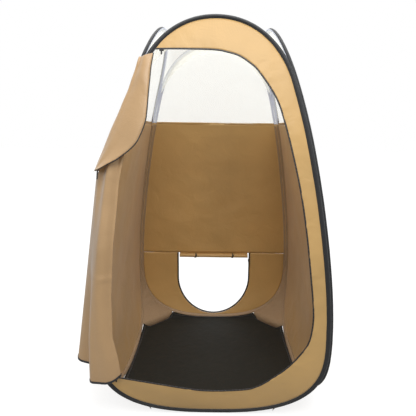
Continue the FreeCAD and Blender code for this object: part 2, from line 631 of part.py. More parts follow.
def build():
    """All sub-parts by node name."""
    parts = {}
    binding, wire, ferrule = make_hoop_parts()
    sides = ("front", "right", "back", "left")
    for turns, side in enumerate(sides):
        parts[side + "_hoop_binding"] = turned(binding, turns)
        parts[side + "_hoop_wire"] = turned(wire, turns)
        parts[side + "_hoop_ferrule"] = turned(ferrule, turns)
    cloth, film = make_walls()
    parts["front_surround"], parts["door_zip_tape"] = make_doorway(cloth)
    side_cloth = cloth.common(band(0.0, FILM_FOOT))
    for turns in (1, 3):
        parts[sides[turns] + "_wall"] = turned(side_cloth, turns)
    parts["back_wall_upper"], parts["back_wall_lower"], parts["vent_zip_tape"] = make_back(cloth)
    for turns in (1, 2, 3):
        parts[sides[turns] + "_window"] = turned(film, turns)
    parts["roof_window"] = make_roof()
    gusset = make_gusset()
    for turns, corner in enumerate(("front_right", "back_right", "back_left", "front_left")):
        parts[corner + "_gusset"] = turned(gusset, turns)
    parts["floor_sheet"], parts["floor_edge_tape"] = make_floor()
    patch = make_patch()
    parts["right_window_patch"] = patch
    parts["left_window_patch"] = patch.mirror(Vector(0, 0, 0), Vector(1, 0, 0))
    parts.update(make_sliders())
    parts.update(make_vent_roll())
    parts["door_cloth_gather"] = make_gather()
    parts["door_cloth_drape"] = make_drape()
    parts["door_tie_tab"] = make_tie_tab()
    return parts


os.makedirs("parts", exist_ok=True)
for name, shape in build().items():
    solids = shape.Solids
    if not solids or not shape.isValid():
        print("PROBLEM", name, len(solids), shape.isValid())
    whole = solids[0] if len(solids) == 1 else Part.makeCompound(solids)
    whole.exportStep(os.path.join("parts", name + ".step"))
    print(name, len(solids), round(whole.Volume / 1000.0, 1), "cm3")
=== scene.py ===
"""Dresses the pop-up spray tanning booth: cloth, clear film, bindings, zips and the thrown-back door.

Everything is in metres in the row's frame: +Z up, the doorway faces -Y, and the origin is the
centre of the footprint on the floor.
"""

import logging
import math
from dataclasses import dataclass, field
from enum import Enum
from typing import Callable, Sequence

import bmesh
import bpy
import numpy as np
from mathutils import Euler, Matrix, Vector, noise

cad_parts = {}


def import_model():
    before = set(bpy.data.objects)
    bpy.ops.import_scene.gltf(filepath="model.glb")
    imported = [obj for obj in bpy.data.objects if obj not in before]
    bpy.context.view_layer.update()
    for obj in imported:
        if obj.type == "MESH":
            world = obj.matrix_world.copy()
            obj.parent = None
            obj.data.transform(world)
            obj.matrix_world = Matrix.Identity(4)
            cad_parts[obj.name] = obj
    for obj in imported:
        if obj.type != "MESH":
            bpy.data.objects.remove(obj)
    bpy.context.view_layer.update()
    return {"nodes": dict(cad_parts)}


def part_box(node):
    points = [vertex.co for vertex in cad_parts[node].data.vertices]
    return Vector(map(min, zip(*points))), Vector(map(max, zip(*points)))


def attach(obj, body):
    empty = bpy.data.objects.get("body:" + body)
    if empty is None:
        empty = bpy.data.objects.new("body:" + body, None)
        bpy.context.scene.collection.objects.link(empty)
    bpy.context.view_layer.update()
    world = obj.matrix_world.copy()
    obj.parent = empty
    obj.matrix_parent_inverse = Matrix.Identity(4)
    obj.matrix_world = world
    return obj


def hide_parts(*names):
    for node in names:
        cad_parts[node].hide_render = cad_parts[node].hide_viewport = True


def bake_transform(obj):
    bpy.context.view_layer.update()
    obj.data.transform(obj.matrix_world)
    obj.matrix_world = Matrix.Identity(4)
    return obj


LOG = logging.getLogger("booth")
Place = Callable[[float, float], Vector]


class Side(Enum):
    """The four sides of the cabin, by quarter turns from the front."""

    FRONT = 0
    RIGHT = 1
    BACK = 2
    LEFT = 3


FACING_STEP = 0.0115       # between a facing's rows along its hoop
FACING_WIDTH = 0.024


class Held(Enum):
    """How a sheet is held."""

    STRETCHED = "stretched"
    GATHERED = "gathered"
    DRAPED = "draped"
    LAID = "laid"


# ---------------------------------------------------------------- finishes


def new_material(name: str) -> tuple[bpy.types.Material, bpy.types.Node]:
    """Starts a node material.

    Args:
        name: the material's name.

    Returns:
        The material and its Principled shader.
    """
    material = bpy.data.materials.new(name)
    material.use_nodes = True
    return material, material.node_tree.nodes["Principled BSDF"]


def add_node(material: bpy.types.Material, kind: str, **values: object) -> bpy.types.Node:
    """Adds a node and sets its properties or inputs by name.

    Args:
        material: the material to add it to.
        kind: the node's type.
        **values: properties, or input names with spaces written as underscores.

    Returns:
        The new node.
    """
    node = material.node_tree.nodes.new(kind)
    for key, value in values.items():
        label = key.replace("_", " ")
        if label in node.inputs:
            node.inputs[label].default_value = value
        else:
            setattr(node, key, value)
    return node


@dataclass(frozen=True)
class ClothFinish:
    """Woven cloth: a fine weave over soft crinkles, with a little colour drift.

    Attributes:
        name: the material's name.
        colour: base colour, linear.
        roughness: of the surface.
        sheen: weight of the fuzz.
        weave: threads per metre along the cloth's own map.
        crinkle: bump strength of the soft crinkles.
        drift: share by which the colour varies.
        crinkle_scale: crinkles per metre.
    """

    name: str
    colour: tuple[float, float, float]
    roughness: float = 0.55
    sheen: float = 0.15
    weave: float = 900.0
    crinkle: float = 0.25
    drift: float = 0.10
    crinkle_scale: float = 9.0

    def build(self) -> bpy.types.Material:
        """Makes the material."""
        material, shader = new_material(self.name)
        link = material.node_tree.links.new
        shader.inputs["Roughness"].default_value = self.roughness
        shader.inputs["Sheen Weight"].default_value = self.sheen
        shader.inputs["Sheen Roughness"].default_value = 0.5
        place = add_node(material, "ShaderNodeTexCoord")
        broad = add_node(material, "ShaderNodeTexNoise", Scale=2.2, Detail=3.0, Roughness=0.55)
        link(place.outputs["Object"], broad.inputs["Vector"])
        dark = tuple(c * (1.0 - self.drift) for c in self.colour)
        light = tuple(min(1.0, c * (1.0 + 0.6 * self.drift)) for c in self.colour)
        ramp = add_node(material, "ShaderNodeValToRGB")
        ramp.color_ramp.elements[0].color = (*dark, 1.0)
        ramp.color_ramp.elements[0].position = 0.32
        ramp.color_ramp.elements[1].color = (*light, 1.0)
        ramp.color_ramp.elements[1].position = 0.68
        link(broad.outputs["Fac"], ramp.inputs["Fac"])
        threads = self._threads(material, place)
        tint = add_node(material, "ShaderNodeMix", data_type="RGBA", blend_type="MULTIPLY")
        tint.inputs["Factor"].default_value = 0.10
        link(ramp.outputs["Color"], tint.inputs["A"])
        link(threads, tint.inputs["B"])
        link(tint.outputs["Result"], shader.inputs["Base Color"])
        soft = add_node(material, "ShaderNodeTexNoise", Scale=self.crinkle_scale, Detail=5.0,
                        Roughness=0.55, Distortion=0.6)
        link(place.outputs["Object"], soft.inputs["Vector"])
        folds = add_node(material, "ShaderNodeBump", Strength=self.crinkle, Distance=0.012)
        link(soft.outputs["Fac"], folds.inputs["Height"])
        weave = add_node(material, "ShaderNodeBump", Strength=0.12, Distance=0.0004)
        link(threads, weave.inputs["Height"])
        link(folds.outputs["Normal"], weave.inputs["Normal"])
        link(weave.outputs["Normal"], shader.inputs["Normal"])
        return material

    def _threads(self, material: bpy.types.Material, place: bpy.types.Node) -> bpy.types.NodeSocket:
        """Adds warp and weft as two crossed bands on the cloth's own map."""
        link = material.node_tree.links.new
        bands = []
        for direction in ("X", "Y"):
            wave = add_node(material, "ShaderNodeTexWave", bands_direction=direction,
                            Scale=self.weave / 20.0, Distortion=0.4, Detail=1.0)
            link(place.outputs["UV"], wave.inputs["Vector"])
            bands.append(wave.outputs["Fac"])
        cross = add_node(material, "ShaderNodeMath", operation="MAXIMUM")
        link(bands[0], cross.inputs[0])
        link(bands[1], cross.inputs[1])
        return cross.outputs["Value"]


@dataclass(frozen=True)
class FilmFinish:
    """Clear PVC film with a faint haze and soft waves.

    Attributes:
        name: the material's name.
        colour: of the haze, linear.
        alpha: how much the film covers what is behind it.
        roughness: of the surface, at its clearest.
        scatter: constant emission that stands in for light scattered through the film.
    """

    name: str
    colour: tuple[float, float, float]
    alpha: float
    roughness: float = 0.12
    scatter: float = 0.0

    def build(self) -> bpy.types.Material:
        """Makes the material."""
        material, shader = new_material(self.name)
        link = material.node_tree.links.new
        shader.inputs["Base Color"].default_value = (*self.colour, 1.0)
        shader.inputs["Alpha"].default_value = self.alpha
        shader.inputs["Emission Color"].default_value = (*self.colour, 1.0)
        shader.inputs["Emission Strength"].default_value = self.scatter
        shader.inputs["IOR"].default_value = 1.5
        place = add_node(material, "ShaderNodeTexCoord")
        haze = add_node(material, "ShaderNodeTexNoise", Scale=6.0, Detail=4.0)
        link(place.outputs["Object"], haze.inputs["Vector"])
        gloss = add_node(material, "ShaderNodeMapRange")
        gloss.inputs["To Min"].default_value = self.roughness
        gloss.inputs["To Max"].default_value = self.roughness * 2.2
        link(haze.outputs["Fac"], gloss.inputs["Value"])
        link(gloss.outputs["Result"], shader.inputs["Roughness"])
        wave = add_node(material, "ShaderNodeTexNoise", Scale=5.0, Detail=2.0, Distortion=1.0)
        link(place.outputs["Object"], wave.inputs["Vector"])
        bump = add_node(material, "ShaderNodeBump", Strength=0.35, Distance=0.02)
        link(wave.outputs["Fac"], bump.inputs["Height"])
        link(bump.outputs["Normal"], shader.inputs["Normal"])
        return material


@dataclass(frozen=True)
class HardFinish:
    """Metal, paint or moulded plastic with fine marks."""

    name: str
    colour: tuple[float, float, float]
    metallic: float = 0.0
    roughness: float = 0.35
    grain: float = 300.0

    def build(self) -> bpy.types.Material:
        """Makes the material."""
        material, shader = new_material(self.name)
        link = material.node_tree.links.new
        shader.inputs["Base Color"].default_value = (*self.colour, 1.0)
        shader.inputs["Metallic"].default_value = self.metallic
        place = add_node(material, "ShaderNodeTexCoord")
        marks = add_node(material, "ShaderNodeTexNoise", Scale=self.grain, Detail=6.0, Roughness=0.6)
        link(place.outputs["Object"], marks.inputs["Vector"])
        wear = add_node(material, "ShaderNodeMapRange")
        wear.inputs["To Min"].default_value = self.roughness * 0.7
        wear.inputs["To Max"].default_value = self.roughness * 1.4
        link(marks.outputs["Fac"], wear.inputs["Value"])
        link(wear.outputs["Result"], shader.inputs["Roughness"])
        bump = add_node(material, "ShaderNodeBump", Strength=0.15, Distance=0.0003)
        link(marks.outputs["Fac"], bump.inputs["Height"])
        link(bump.outputs["Normal"], shader.inputs["Normal"])
        return material


@dataclass(frozen=True)
class ZipFinish:
    """A coil zip: fine teeth across the piece's own map, darker between them."""

    name: str
    colour: tuple[float, float, float]
    pitch: float = 0.003

    def build(self) -> bpy.types.Material:
        """Makes the material."""
        material, shader = new_material(self.name)
        link = material.node_tree.links.new
        shader.inputs["Roughness"].default_value = 0.4
        place = add_node(material, "ShaderNodeTexCoord")
        teeth = add_node(material, "ShaderNodeTexWave", bands_direction="X", Scale=1.0 / (20.0 * self.pitch))
        link(place.outputs["UV"], teeth.inputs["Vector"])
        ramp = add_node(material, "ShaderNodeValToRGB")
        ramp.color_ramp.elements[0].color = (*(c * 0.35 for c in self.colour), 1.0)
        ramp.color_ramp.elements[1].color = (*self.colour, 1.0)
        link(teeth.outputs["Fac"], ramp.inputs["Fac"])
        link(ramp.outputs["Color"], shader.inputs["Base Color"])
        bump = add_node(material, "ShaderNodeBump", Strength=0.6, Distance=0.0008)
        link(teeth.outputs["Fac"], bump.inputs["Height"])
        link(bump.outputs["Normal"], shader.inputs["Normal"])
        return material


@dataclass
class Wardrobe:
    """Every finish of the booth, built once."""

    finishes: tuple = (
        ClothFinish("gold_taffeta", (0.68, 0.425, 0.155), roughness=0.42, sheen=0.25, crinkle=0.40),
        ClothFinish("door_taffeta", (0.57, 0.36, 0.175), roughness=0.34, sheen=0.35, crinkle=0.45,
                    crinkle_scale=7.0),
        ClothFinish("gusset_taffeta", (0.46, 0.32, 0.19), roughness=0.55, crinkle=0.7, crinkle_scale=26.0),
        ClothFinish("black_binding", (0.012, 0.013, 0.015), roughness=0.6, sheen=0.2, weave=1500.0,
                    crinkle=0.3, crinkle_scale=40.0),
        ClothFinish("floor_oxford", (0.014, 0.014, 0.010), roughness=0.8, sheen=0.0, weave=700.0,
                    crinkle=0.5, crinkle_scale=14.0),
        ClothFinish("cream_tape", (0.62, 0.55, 0.42), roughness=0.7, weave=1500.0),
        FilmFinish("clear_film", (0.93, 0.93, 0.86), 0.26, scatter=0.34),
        FilmFinish("frosted_film", (0.38, 0.36, 0.40), 0.72, roughness=0.3),
        FilmFinish("seam_film", (0.62, 0.65, 0.74), 0.70, roughness=0.3, scatter=0.25),
        ZipFinish("zip_coil", (0.045, 0.04, 0.04)),
        HardFinish("black_die_cast", (0.02, 0.02, 0.022), metallic=0.6, roughness=0.35),
        HardFinish("spring_steel", (0.5, 0.51, 0.53), metallic=1.0, roughness=0.3, grain=900.0),
        HardFinish("moulded_black", (0.015, 0.015, 0.016), roughness=0.4),
    )
    made: dict[str, bpy.types.Material] = field(default_factory=dict)

    def __post_init__(self) -> None:
        """Builds each finish."""
        for finish in self.finishes:
            self.made[finish.name] = finish.build()

    def __getitem__(self, name: str) -> bpy.types.Material:
        """The finish of that name."""
        return self.made[name]


# ---------------------------------------------------------------- the cabin's shape


@dataclass
class CabinShape:
    """The cabin's lines, which every sheet and binding follows.

    Attributes:
        stations: (height, half-width) pairs up the corner curve.
    """

    stations: tuple = ((0.0, 0.539), (0.2, 0.585), (0.45, 0.601), (0.9, 0.568), (1.3, 0.507),
                       (1.7, 0.418), (2.1, 0.292))
    pair_shift: float = 0.0208 / (2 * math.sqrt(2))
    binding: float = 0.010
    belly: float = 0.45
    squareness: float = 2.7
    arch_start: float = 1.76
    arch_rise: float = 0.19
    arch_flat: float = 0.20
    roof_sag: float = 0.018
    second: list[float] = field(default_factory=list)

    def __post_init__(self) -> None:
        """Solves the spline and samples the hoop's outline finely."""
        z = np.array([s[0] for s in self.stations])
        h = np.array([s[1] for s in self.stations])
        count = len(z)
        matrix, right = np.eye(count), np.zeros(count)
        for i in range(1, count - 1):
            a, b = z[i] - z[i - 1], z[i + 1] - z[i]
            matrix[i, i - 1:i + 2] = a / 6, (a + b) / 3, b / 6
            right[i] = (h[i + 1] - h[i]) / b - (h[i] - h[i - 1]) / a
        self.second = list(np.linalg.solve(matrix, right))
        self.outline = self._outline()
        self.side_x = np.array([p[0] for p in self.outline])
        self.side_z = np.array([p[1] for p in self.outline])

    def half(self, z: float) -> float:
        """Half-width of the plan at height z."""
        z = min(max(z, 0.0), self.stations[-1][0])
        i = next(k for k in range(len(self.stations) - 1) if z <= self.stations[k + 1][0])
        (z0, h0), (z1, h1) = self.stations[i:i + 2]
        step = z1 - z0
        a = (z1 - z) / step
        b = 1.0 - a
        bend = (a ** 3 - a) * self.second[i] + (b ** 3 - b) * self.second[i + 1]
        return a * h0 + b * h1 + bend * step * step / 6.0

    def wall_y(self, z: float) -> float:
        """How far the front wall's surface stands in front of the centre, as a positive number."""
        return self.half(z) + self.pair_shift

    def _outline(self) -> list[tuple[float, float]]:
        """(x, z) of the right half of a hoop's centreline, from foot to crown, evenly spaced."""
        points = []
        widest, foot = self.half(self.belly) - self.pair_shift, self.binding
        for t in np.linspace(0.0, math.pi / 2, 60, endpoint=False):
            power = 2.0 / self.squareness
            points.append((widest * math.sin(t) ** power,
                           foot + (self.belly - foot) * (1.0 - math.cos(t) ** power)))
        for z in np.linspace(self.belly, self.arch_start, 60, endpoint=False):
            points.append((self.half(z) - self.pair_shift, z))
        top = self.stations[-1][0] - self.binding
        slope = (self.half(self.arch_start + 0.001) - self.half(self.arch_start - 0.001)) / 0.002
        x0 = self.half(self.arch_start) - self.pair_shift
        along_corner = (x0 + slope * self.arch_rise, self.arch_start + self.arch_rise)
        handles = np.array([(x0, self.arch_start), along_corner,
                            (self.arch_flat, top), (0.0, top)])
        for t in np.linspace(0.0, 1.0, 60):
            weights = np.array([(1 - t) ** 3, 3 * t * (1 - t) ** 2, 3 * t * t * (1 - t), t ** 3])
            points.append(tuple(weights @ handles))
        return points

    def hoop_x(self, z: float) -> float:
        """Half-width of a hoop's centreline at height z."""
        return float(np.interp(z, self.side_z, self.side_x))

    def hoop_ring(self, count: int) -> np.ndarray:
        """Evenly spaced (x, z) points all the way round a hoop, from the foot to the right."""
        right = np.array(self.outline)
        left = right[::-1][1:-1] * np.array([-1.0, 1.0])
        ring = np.vstack([right, left, right[:1]])
        along = distances(ring)
        at = np.linspace(0.0, along[-1], count, endpoint=False)
        return np.stack([np.interp(at, along, ring[:, k]) for k in (0, 1)], axis=1)

    def on_front(self, x: float, z: float, inward: float = 0.0) -> Vector:
        """A point on the front wall's surface, moved inwards by a distance."""
        return Vector((x, -self.wall_y(z) + inward, z))


def turn(point: Vector, side: Side) -> Vector:
    """Turns a point from the front wall to the same place on another wall."""
    x, y = point.x, point.y
    return (Vector((x, y, point.z)), Vector((-y, x, point.z)), Vector((-x, -y, point.z)),
            Vector((y, -x, point.z)))[side.value]


def catmull(points: Sequence[Sequence[float]], u: float) -> np.ndarray:
    """A point on the smooth curve through points, u from 0 to 1."""
    p = np.array(points, float)
    place = min(max(u, 0.0), 1.0) * (len(p) - 1)
    i = min(int(place), len(p) - 2)
    t = place - i
    a = p[i - 1] if i > 0 else 2 * p[0] - p[1]
    d = p[i + 2] if i + 2 < len(p) else 2 * p[-1] - p[-2]
    b, c = p[i], p[i + 1]
    return 0.5 * ((2 * b) + (c - a) * t + (2 * a - 5 * b + 4 * c - d) * t * t
                  + (3 * b - 3 * c + d - a) * t ** 3)


def line_at(line: np.ndarray, along: np.ndarray, at: float, step: float) -> tuple[float, float, float, float]:
    """A place on a plan line and its direction there.

    Args:
        line: points of the line.
        along: the distance along the line at each point.
        at: the distance wanted.
        step: the distance to each side that the direction is taken over.

    Returns:
        x, z and the unit direction's x and z.
    """
    x, z = (float(np.interp(at, along, line[:, k])) for k in (0, 1))
    dx, dz = (float(np.interp(at + step, along, line[:, k]) - np.interp(at - step, along, line[:, k]))
              for k in (0, 1))
    size = math.hypot(dx, dz) or 1.0
    return x, z, dx / size, dz / size


def distances(line: np.ndarray) -> np.ndarray:
    """The distance along a line at each of its points."""
    return np.concatenate([[0.0], np.cumsum(np.linalg.norm(np.diff(line, axis=0), axis=1))])


def ripple(point: Vector, scale: float, seed: float) -> float:
    """Smooth noise of about -1 to 1 at a point."""
    return noise.noise(Vector((point.x * scale + seed, point.y * scale, point.z * scale)))


# ---------------------------------------------------------------- building sheets and strips


@dataclass
class Workshop:
    """Makes the booth's meshes and dresses them.

    Attributes:
        wardrobe: the finishes.
        shape: the cabin's lines.
    """

    wardrobe: Wardrobe
    shape: CabinShape

    def mapped(self, name: str, columns: int, rows: int, place: Place, finish: str,
               closed: bool = False, size: tuple[float, float] = (1.0, 1.0)) -> bpy.types.Object:
        """A grid bent to a surface, with its own map in metres.

        Args:
            name: the piece's name.
            columns: cells along u.
            rows: cells along v.
            place: gives the point of u and v, each from 0 to 1.
            finish: the finish's name.
            closed: whether the surface closes on itself, so doubles are merged.
            size: metres that u and v span, for the weave.

        Returns:
            The new object, at the origin.
        """
        bm = bmesh.new()
        uv = bm.loops.layers.uv.new("cloth_map")
        bmesh.ops.create_grid(bm, x_segments=columns, y_segments=rows, size=0.5)
        for face in bm.faces:
            for loop in face.loops:
                loop[uv].uv = ((loop.vert.co.x + 0.5) * size[0], (loop.vert.co.y + 0.5) * size[1])
        for vert in bm.verts:
            vert.co = place(vert.co.x + 0.5, vert.co.y + 0.5)
        if closed:
            bmesh.ops.remove_doubles(bm, verts=bm.verts, dist=1e-5)
            bmesh.ops.recalc_face_normals(bm, faces=bm.faces)
        for face in bm.faces:
            face.smooth = True
        return self.finished(name, bm, finish)

    def finished(self, name: str, bm: bmesh.types.BMesh, finish: str) -> bpy.types.Object:
        """Turns a bmesh into an object with a finish."""
        mesh = bpy.data.meshes.new(name)
        bm.to_mesh(mesh)
        bm.free()
        obj = bpy.data.objects.new(name, mesh)
        bpy.context.scene.collection.objects.link(obj)
        mesh.materials.append(self.wardrobe[finish])
        return obj

    def thicken(self, obj: bpy.types.Object, thickness: float, offset: float = 0.0) -> bpy.types.Object:
        """Gives a sheet its real thickness."""
        solid = obj.modifiers.new("thickness", "SOLIDIFY")
        solid.thickness = thickness
        solid.offset = offset
        return obj

    def wand(self, name: str, path: Sequence[Vector], section: Sequence[tuple[float, float]],
             finish: str, facing: Callable[[int], Vector], cyclic: bool = False) -> bpy.types.Object:
        """A flat or round bar of a small closed section along a path.

        Args:
            name: the piece's name.
            path: points along the bar.
            section: (across, out) offsets of the section, in order.
            finish: the finish's name.
            facing: gives the outward direction at each point's number.
            cyclic: whether the bar closes on itself.

        Returns:
            The new object.
        """
        count = len(path)
        rings = []
        for i, point in enumerate(path):
            before = path[i - 1] if cyclic or i else path[i]
            after = path[(i + 1) % count] if cyclic or i < count - 1 else path[i]
            along = (after - before).normalized()
            out = facing(i)
            out = (out - along * out.dot(along)).normalized()
            across = out.cross(along)
            rings.append([point + across * a + out * b for a, b in section])
        if cyclic:
            rings.append(rings[0])
        spans = len(rings) - 1
        length = sum((path[i] - path[i - 1]).length for i in range(1, count))

        def place(u: float, v: float) -> Vector:
            """The section's point at v, at u along the bar."""
            ring = rings[round(u * spans)]
            return ring[round(v * len(section)) % len(section)]

        obj = self.mapped(name, spans, len(section), place, finish, closed=True,
                          size=(length, 0.01 * len(section)))
        if not cyclic:
            bm = bmesh.new()
            bm.from_mesh(obj.data)
            edges = [e for e in bm.edges if e.is_boundary]
            bmesh.ops.holes_fill(bm, edges=edges, sides=0)
            bmesh.ops.recalc_face_normals(bm, faces=bm.faces)
            bm.to_mesh(obj.data)
            bm.free()
        return obj


# ---------------------------------------------------------------- hoops


@dataclass
class Hoops:
    """The black binding sleeves, with the fin that takes the wall's edge.

    Attributes:
        sleeve: radius of the round part.
        fin: how far the sewn fin reaches inwards from the centre.
        fin_half: half the fin's thickness.
    """

    shop: Workshop
    sleeve: float = 0.0094
    fin: float = 0.0150
    fin_half: float = 0.0014
    stations: int = 300
    around: int = 18

    def build(self) -> list[bpy.types.Object]:
        """Builds the four sleeves."""
        made = []
        for side in Side:
            made.append(self._sleeve(side))
        return made

    def _section(self) -> list[tuple[float, float]]:
        """(inwards, out) offsets of the sleeve's section: a round with a fin on its inner side."""
        points = []
        for i in range(self.around):
            angle = 2 * math.pi * i / self.around
            inward, out = math.cos(angle) * self.sleeve, math.sin(angle) * self.sleeve
            share = max(0.0, math.cos(angle)) ** 5
            inward += (self.fin - self.sleeve) * share
            out *= 1.0 - share * (1.0 - self.fin_half / self.sleeve)
            points.append((inward, out))
        return points

    def _sleeve(self, side: Side) -> bpy.types.Object:
        """Builds the binding of one side."""
        shape = self.shop.shape
        ring = shape.hoop_ring(self.stations)
        section = self._section()
        rings = []
        for i, (x, z) in enumerate(ring):
            before, after = ring[i - 1], ring[(i + 1) % self.stations]
            along = Vector((after[0] - before[0], 0.0, after[1] - before[1])).normalized()
            inward = Vector((-along.z, 0.0, along.x))
            lean = (shape.wall_y(z + 0.01) - shape.wall_y(z - 0.01)) / 0.02
            inward.y = -lean * inward.z
            inward.normalize()
            out = Vector((0.0, -1.0, 0.0))
            centre = shape.on_front(x, z)
            pucker = 1.0 + 0.05 * ripple(centre, 38.0, 3.0 + side.value)
            rings.append([turn(centre + (inward * a + out * b) * pucker, side) for a, b in section])
        rings.append(rings[0])

        def place(u: float, v: float) -> Vector:
            """The sleeve's point at u round the hoop and v round the section."""
            return rings[round(u * self.stations)][round(v * self.around) % self.around]

        name = side.name.lower()
        obj = self.shop.mapped(f"{name}_binding_sleeve", self.stations, self.around, place,
                               "black_binding", closed=True, size=(5.5, 0.06))
        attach(obj, "root")
        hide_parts(f"{name}_hoop_binding")
        LOG.info("made %s", obj.name)
        return obj


# ---------------------------------------------------------------- walls, windows and roof


@dataclass
class Walls:
    """The cloth walls and the clear film above them.

    Attributes:
        cloth: the cloth's thickness.
        film: the film's thickness.
        film_foot: height of the seam between cloth and film.
        back_seam: height of the seam across the back wall.
        wrap: how far a wall's edge turns in to cover the hoops at a corner.
    """

    shop: Workshop
    cloth: float = 0.0008
    film: float = 0.0006
    film_foot: float = 1.576
    back_seam: float = 0.541
    wrap: float = 0.0165
    hatch_half: float = 0.290
    hatch_centre: float = 0.330
    tape: float = 0.010

    def build(self) -> None:
        """Builds every wall, window and seam."""
        low = self.shop.shape.binding * 2.1
        for side in (Side.LEFT, Side.RIGHT):
            name = side.name.lower()
            self._panel(f"{name}_wall_cloth", side, low, self.film_foot, "gold_taffeta",
                        f"{name}_wall", (1.22, 1.62), 60, 90)
        self._panel("back_wall_upper_cloth", Side.BACK, self.back_seam, self.film_foot, "gold_taffeta",
                    "back_wall_upper", (1.22, 1.10), 60, 60)
        for side in (Side.LEFT, Side.RIGHT, Side.BACK):
            name = side.name.lower()
            self._panel(f"{name}_window_film", side, self.film_foot, 2.079, "clear_film",
                        f"{name}_window", (0.96, 0.58), 48, 48)
            self._seam_tape(side)
        self._hatch_wall()
        self._roof()
        for side in Side:
            self._lining(side)
        for side in (Side.LEFT, Side.RIGHT):
            self._patch(side)

    def edge_reach(self, z: float) -> float:
        """How far from the middle a wall's flat part reaches at height z."""
        return self.shop.shape.hoop_x(z) - self.shop.shape.binding - 0.0025

    def corner_share(self, z: float) -> float:
        """1 where the two hoops of a corner stand side by side, 0 where they part."""
        rise = min(max((z - 0.40) / 0.10, 0.0), 1.0)
        fall = min(max((1.80 - z) / 0.12, 0.0), 1.0)
        return rise * fall

    def wall_point(self, side: Side, s: float, z: float, seed: float, puff: float = 1.0) -> Vector:
        """A point of a wall: s runs from -1 to 1 across it, and its edges turn in at the corners."""
        shape = self.shop.shape
        reach = self.edge_reach(z)
        share = self.corner_share(z)
        flat_part = 0.985
        if abs(s) <= flat_part or share <= 0.0:
            x, inward = s / (flat_part if share > 0 else 1.0) * reach, 0.0
        else:
            turn_in = (abs(s) - flat_part) / (1.0 - flat_part)
            x = math.copysign(reach + self.wrap * turn_in * share, s)
            inward = self.wrap * turn_in * share
        point = shape.on_front(x, z, inward)
        middle = max(0.0, 1.0 - abs(s) ** 3)
        soft = ripple(point, 3.1, seed) * 0.007 + ripple(point, 8.0, seed + 5) * 0.0030
        fine = ripple(Vector((point.x * 0.35, point.y, point.z * 1.6)), 22.0, seed + 9) * 0.0009
        point.y += (soft * middle + fine * (0.35 + 0.65 * middle)) * puff
        return turn(point, side)

    def _panel(self, name: str, side: Side, low: float, high: float, finish: str, node: str,
               flat: tuple[float, float], columns: int, rows: int) -> None:
        """Builds a panel that fills a hoop between two heights."""
        foot_turn = low < 0.1
        crown_turn = high > 2.0

        def place(u: float, v: float) -> Vector:
            """The panel's point, with rows crowded where the hoop turns over."""
            if foot_turn:
                v = 1.0 - math.cos(v * math.pi / 2)
            if crown_turn:
                v = math.sin(v * math.pi / 2)
            z = low + (high - low) * v
            s = math.copysign(1.0 - (1.0 - abs(2 * u - 1)) ** 1.15, 2 * u - 1)
            return self.wall_point(side, s, z, 7.0 * side.value + low, 0.5 if crown_turn else 1.0)

        obj = self.shop.mapped(name, columns, rows, place, finish, size=flat)
        self.shop.thicken(obj, self.film if crown_turn else self.cloth)
        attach(obj, "root")
        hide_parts(node)
        LOG.info("made %s", name)

    def _seam_tape(self, side: Side) -> None:
        """Builds the narrow folded hem where film meets cloth."""
        def place(u: float, v: float) -> Vector:
            """A strip a few millimetres proud of the inner face, folded over the seam."""
            z = self.film_foot + (v - 0.5) * 0.012
            point = self.wall_point(Side.FRONT, (2 * u - 1) * 0.985, z, 7.0 * side.value + 0.3)
            point.y += 0.0016 + 0.0004 * ripple(point, 60.0, 2.0)
            return turn(point, side)

        obj = self.shop.mapped(f"{side.name.lower()}_window_hem", 60, 4, place, "gold_taffeta",
                               size=(0.9, 0.012))
        self.shop.thicken(obj, 0.0012)
        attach(obj, "root")

    def _lining(self, side: Side) -> None:
        """Builds the facings that carry a wall's edge inside its hoop, in cloth and in film."""
        shape = self.shop.shape
        ring = shape.hoop_ring(480)
        section = ((-0.0150, 0.0006), (-0.0120, 0.0060), (-0.0080, 0.0105), (0.0, 0.0125), (0.0050, 0.0122))
        parts = (("cloth", "gusset_taffeta", [p for p in ring if p[1] <= self.film_foot]),
                 ("film", "seam_film", [p for p in ring if p[1] >= self.film_foot]))
        for kind, finish, line in parts:
            if side is Side.FRONT and kind == "cloth":
                line = [p for p in line if p[0] > -0.3 or p[1] < 0.3]
            start = next((i for i in range(1, len(line)) if math.dist(line[i], line[i - 1]) > 0.05), 0)
            line = line[start:] + line[:start]

            def place(u: float, v: float) -> Vector:
                """The facing's point: u along the hoop, v outwards across it."""
                i = min(round(u * (len(line) - 1)), len(line) - 1)
                before, after = line[max(i - 1, 0)], line[min(i + 1, len(line) - 1)]
                size = math.dist(before, after)
                along = ((after[0] - before[0]) / size, (after[1] - before[1]) / size)
                out, deep = section[round(v * (len(section) - 1))]
                x, z = line[i][0] + along[1] * out, line[i][1] - along[0] * out
                return turn(shape.on_front(x, max(z, 0.002), deep), side)

            obj = self.shop.mapped(f"{side.name.lower()}_{kind}_facing", len(line) - 1, len(section) - 1,
                                   place, finish, size=(len(line) * FACING_STEP, FACING_WIDTH))
            self.shop.thicken(obj, 0.0008)
            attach(obj, "root")

    def hatch_line(self, t: float, grow: float) -> tuple[float, float]:
        """(x, z) round the hatch, from its top left round the foot to its top right."""
        radius = self.hatch_half + grow
        side = self.back_seam - self.hatch_centre
        arc = math.pi * radius
        total = 2 * side + arc
        run = t * total
        if run < side:
            return -radius, self.back_seam - run
        if run > side + arc:
            return radius, self.hatch_centre + (run - side - arc)
        angle = math.pi + (run - side) / radius
        return radius * math.cos(angle), self.hatch_centre + radius * math.sin(angle)

    def _hatch_wall(self) -> None:
        """Builds the lower back wall round the hatch, and the hatch's zip."""
        shape = self.shop.shape
        ring = [p for p in shape.hoop_ring(600) if p[1] <= self.back_seam]
        right = [tuple(p) for p in ring if p[0] >= 0]
        left = [tuple(p) for p in ring if p[0] < 0]
        line = np.array(left + right)
        along = distances(line)
        inset = shape.binding + 0.0025

